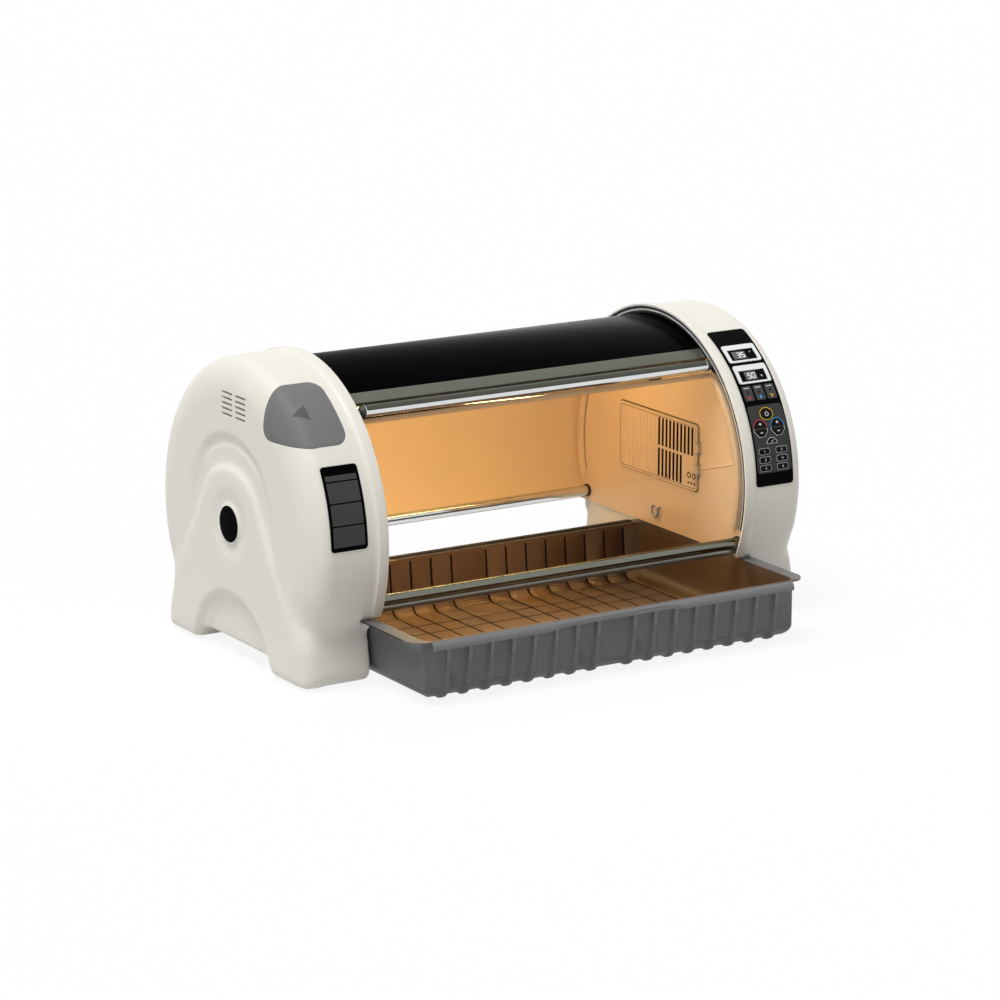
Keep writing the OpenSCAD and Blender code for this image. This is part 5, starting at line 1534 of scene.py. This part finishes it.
class BROODER_OT_keys(bpy.types.Operator):
    """Makes the twelve keys, their signs and the lines printed round them"""

    bl_idname = "brooder.keys"
    bl_label = "Keys"

    def execute(self, context):
        for name, (x, a, outline) in KEYS.items():
            self.cap(name, x, a, outline)
            settle(new_object(name + "_sign", key_sign(name, x, a)), finish("ink_white"), body_of(name),
                   slot="bezel_white")
            settle(new_object(name + "_line", key_outline(name, x, a, outline)),
                   finish(LINE_INKS.get(name, "ink_grey")), "base", slot="keypad_grey")
        return {"FINISHED"}

    def cap(self, name, x, a, outline):
        """The key itself: its outline drawn down through the keypad, with rounded edges."""
        stem = KEY_TOP - DRUM_R - 1.1 * MM
        lay = lambda u, v, w: on_key(u, v, w, x * MM, a, KEY_TOP - stem)
        bm = drawing([(outline,)], stem, lay, cut=1.0)
        piece = bevelled(new_object(name + "_cap_piece", bm), 0.45 * MM, 2, 50)
        settle(piece, finish("key_black"), body_of(name), nodes=(name,))


# ---------------------------------------------------------------- inside and under

class BROODER_OT_inside(bpy.types.Operator):
    """Finishes what the housings hold: tank, mist maker, board, fan, heater, filter and inlet"""

    bl_idname = "brooder.inside"
    bl_label = "Inside the housings"

    def execute(self, context):
        dressed("water_tank", finish("tank_pp"), 4, 3)
        dressed("tank_cap", finish("nylon_white"), 1.2, 3)
        dressed("mist_maker", finish("device_grey"), 1.2, 3)
        dressed("control_board", finish("board_green"), 0.2, 1)
        dressed("fan_shroud", finish("fan_black"), 0.3, 1)
        dressed("fan_motor", finish("steel"), 0.4)
        dressed("fan_impeller", finish("fan_black"), 0.15, 1)
        dressed("heater", finish("heater_metal"), 0.2, 1)
        dressed("power_inlet", finish("nylon_black"), 0.8)
        keep_node("air_filter", finish("fleece"))
        return {"FINISHED"}


class BROODER_OT_feet(bpy.types.Operator):
    """Finishes the rubber feet"""

    bl_idname = "brooder.feet"
    bl_label = "Rubber feet"

    def execute(self, context):
        dressed("rubber_feet", finish("foot_rubber"), 0.8)
        return {"FINISHED"}


# ---------------------------------------------------------------- stage

class BROODER_OT_stage(bpy.types.Operator):
    """Sets the pale floor, the soft light and the camera"""

    bl_idname = "brooder.stage"
    bl_label = "Stage"

    def execute(self, context):
        scene = context.scene
        scene.view_settings.view_transform = "Standard"
        self.floor()
        self.surroundings(scene)
        self.light(scene)
        self.camera(scene)
        return {"FINISHED"}

    def seen(self, tree):
        """1 for rays that show the background itself: to the camera, in metal and through glass."""
        path = add(tree, "ShaderNodeLightPath")
        first = add(tree, "ShaderNodeMath", {"operation": "MAXIMUM"},
                    links={0: path.outputs["Is Camera Ray"], 1: path.outputs["Is Glossy Ray"]})
        either = add(tree, "ShaderNodeMath", {"operation": "MAXIMUM"},
                     links={0: first.outputs["Value"], 1: path.outputs["Is Transmission Ray"]})
        return either.outputs["Value"]

    def floor(self):
        """White paper floor: shows almost white, and keeps the object's shadow."""
        bm = bmesh.new()
        bmesh.ops.create_grid(bm, x_segments=1, y_segments=1, size=14)
        floor = new_object("floor", bm)
        # Matt paper: off-white, with faint mottling about 17 mm wide
        material, tree = blank_material("white_paper_floor")
        place = add(tree, "ShaderNodeTexCoord")
        paper = add(tree, "ShaderNodeTexNoise", values={"Scale": 60.0, "Detail": 2.0},
                    links={"Vector": place.outputs["Object"]})
        tint = add(tree, "ShaderNodeMix", {"data_type": "RGBA"},
                   {"A": opaque(paint("CBCBCB")), "B": opaque(paint("D3D3D3"))},
                   {"Factor": paper.outputs["Fac"]})
        matt = add(tree, "ShaderNodeBsdfDiffuse", links={"Color": tint.outputs["Result"]})
        white = add(tree, "ShaderNodeEmission", values={"Strength": 1.05})
        part = add(tree, "ShaderNodeMath", {"operation": "MULTIPLY"}, {1: 0.85}, {0: self.seen(tree)})
        mixed = add(tree, "ShaderNodeMixShader", links={
            0: part.outputs["Value"], 1: matt.outputs[0], 2: white.outputs[0]})
        close_material(tree, mixed)
        floor.data.materials.append(material)

    def surroundings(self, scene):
        """White background that lights the object only softly."""
        world = bpy.data.worlds.new("white_studio")
        world.use_nodes = True
        tree = world.node_tree
        tree.nodes.clear()
        level = add(tree, "ShaderNodeMapRange", values={"To Min": 0.36, "To Max": 1.0},
                    links={"Value": self.seen(tree)})
        sky = add(tree, "ShaderNodeBackground", values={"Color": (1, 1, 1, 1)},
                  links={"Strength": level.outputs["Result"]})
        add(tree, "ShaderNodeOutputWorld", links={"Surface": sky.outputs[0]})
        scene.world = world

    def light(self, scene):
        """One broad soft light, high and from the left front."""
        lamp = bpy.data.lights.new("high_light", "SUN")
        lamp.energy, lamp.angle = 2.45, LEAN(26)
        holder = bpy.data.objects.new("high_light", lamp)
        way = Vector((-0.33, -0.1, 0.92))
        holder.rotation_euler = (-way).to_track_quat("-Z", "Y").to_euler()
        scene.collection.objects.link(holder)

    def camera(self, scene):
        """Camera at the photograph's viewing angle, solved from the object's edges and ellipses."""
        azimuth, elevation, roll, distance = LEAN(-32.12), LEAN(14.08), LEAN(0.15), 6.65025
        film, focal_widths = 36.0, 3.82177
        target = Vector((0.0332, AXIS.y, 0.2064))
        back = Vector((math.sin(azimuth) * math.cos(elevation), -math.cos(azimuth) * math.cos(elevation),
                       math.sin(elevation)))
        right = (-back).cross(Vector((0, 0, 1))).normalized()
        up = right.cross(-back)
        tilted = right * math.cos(roll) + up * math.sin(roll)
        upright = up * math.cos(roll) - right * math.sin(roll)
        view = bpy.data.cameras.new("photo_view")
        view.sensor_width = film
        view.lens = focal_widths * film
        holder = bpy.data.objects.new("photo_view", view)
        holder.matrix_world = Matrix((
            (tilted.x, upright.x, back.x, target.x + back.x * distance),
            (tilted.y, upright.y, back.y, target.y + back.y * distance),
            (tilted.z, upright.z, back.z, target.z + back.z * distance), (0, 0, 0, 1)))
        scene.collection.objects.link(holder)
        scene.camera = holder


# ---------------------------------------------------------------- add-on

STEPS = (BROODER_OT_stage, BROODER_OT_housings, BROODER_OT_walls, BROODER_OT_cover, BROODER_OT_rods,
         BROODER_OT_door, BROODER_OT_tray, BROODER_OT_grille, BROODER_OT_service, BROODER_OT_panel_plates,
         BROODER_OT_keys, BROODER_OT_inside, BROODER_OT_feet)


class BROODER_PT_pieces(bpy.types.Panel):
    """Lists the pieces' operators and the user's values"""

    bl_idname = "BROODER_PT_pieces"
    bl_label = "Barrel brooder"
    bl_space_type = "VIEW_3D"
    bl_region_type = "UI"
    bl_category = "Brooder"

    def draw(self, context):
        """One button for each operator, then every value."""
        for step in STEPS:
            self.layout.operator(step.bl_idname)
        for group in (context.scene.brooder_colours, context.scene.brooder_sizes):
            for name in group.__annotations__:
                self.layout.prop(group, name)


CLASSES = (BrooderColours, BrooderSizes, *STEPS, BROODER_PT_pieces)


def register():
    """Makes the classes and the scene's values known to Blender."""
    for cls in CLASSES:
        bpy.utils.register_class(cls)
    bpy.types.Scene.brooder_colours = bpy.props.PointerProperty(type=BrooderColours)
    bpy.types.Scene.brooder_sizes = bpy.props.PointerProperty(type=BrooderSizes)


def unregister():
    """Takes back what register did."""
    del bpy.types.Scene.brooder_sizes
    del bpy.types.Scene.brooder_colours
    for cls in reversed(CLASSES):
        bpy.utils.unregister_class(cls)


def main():
    """Registers the add-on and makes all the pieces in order."""
    register()
    for step in STEPS:
        group, name = step.bl_idname.split(".")
        getattr(getattr(bpy.ops, group), name)()


if __name__ == "__main__":
    main()
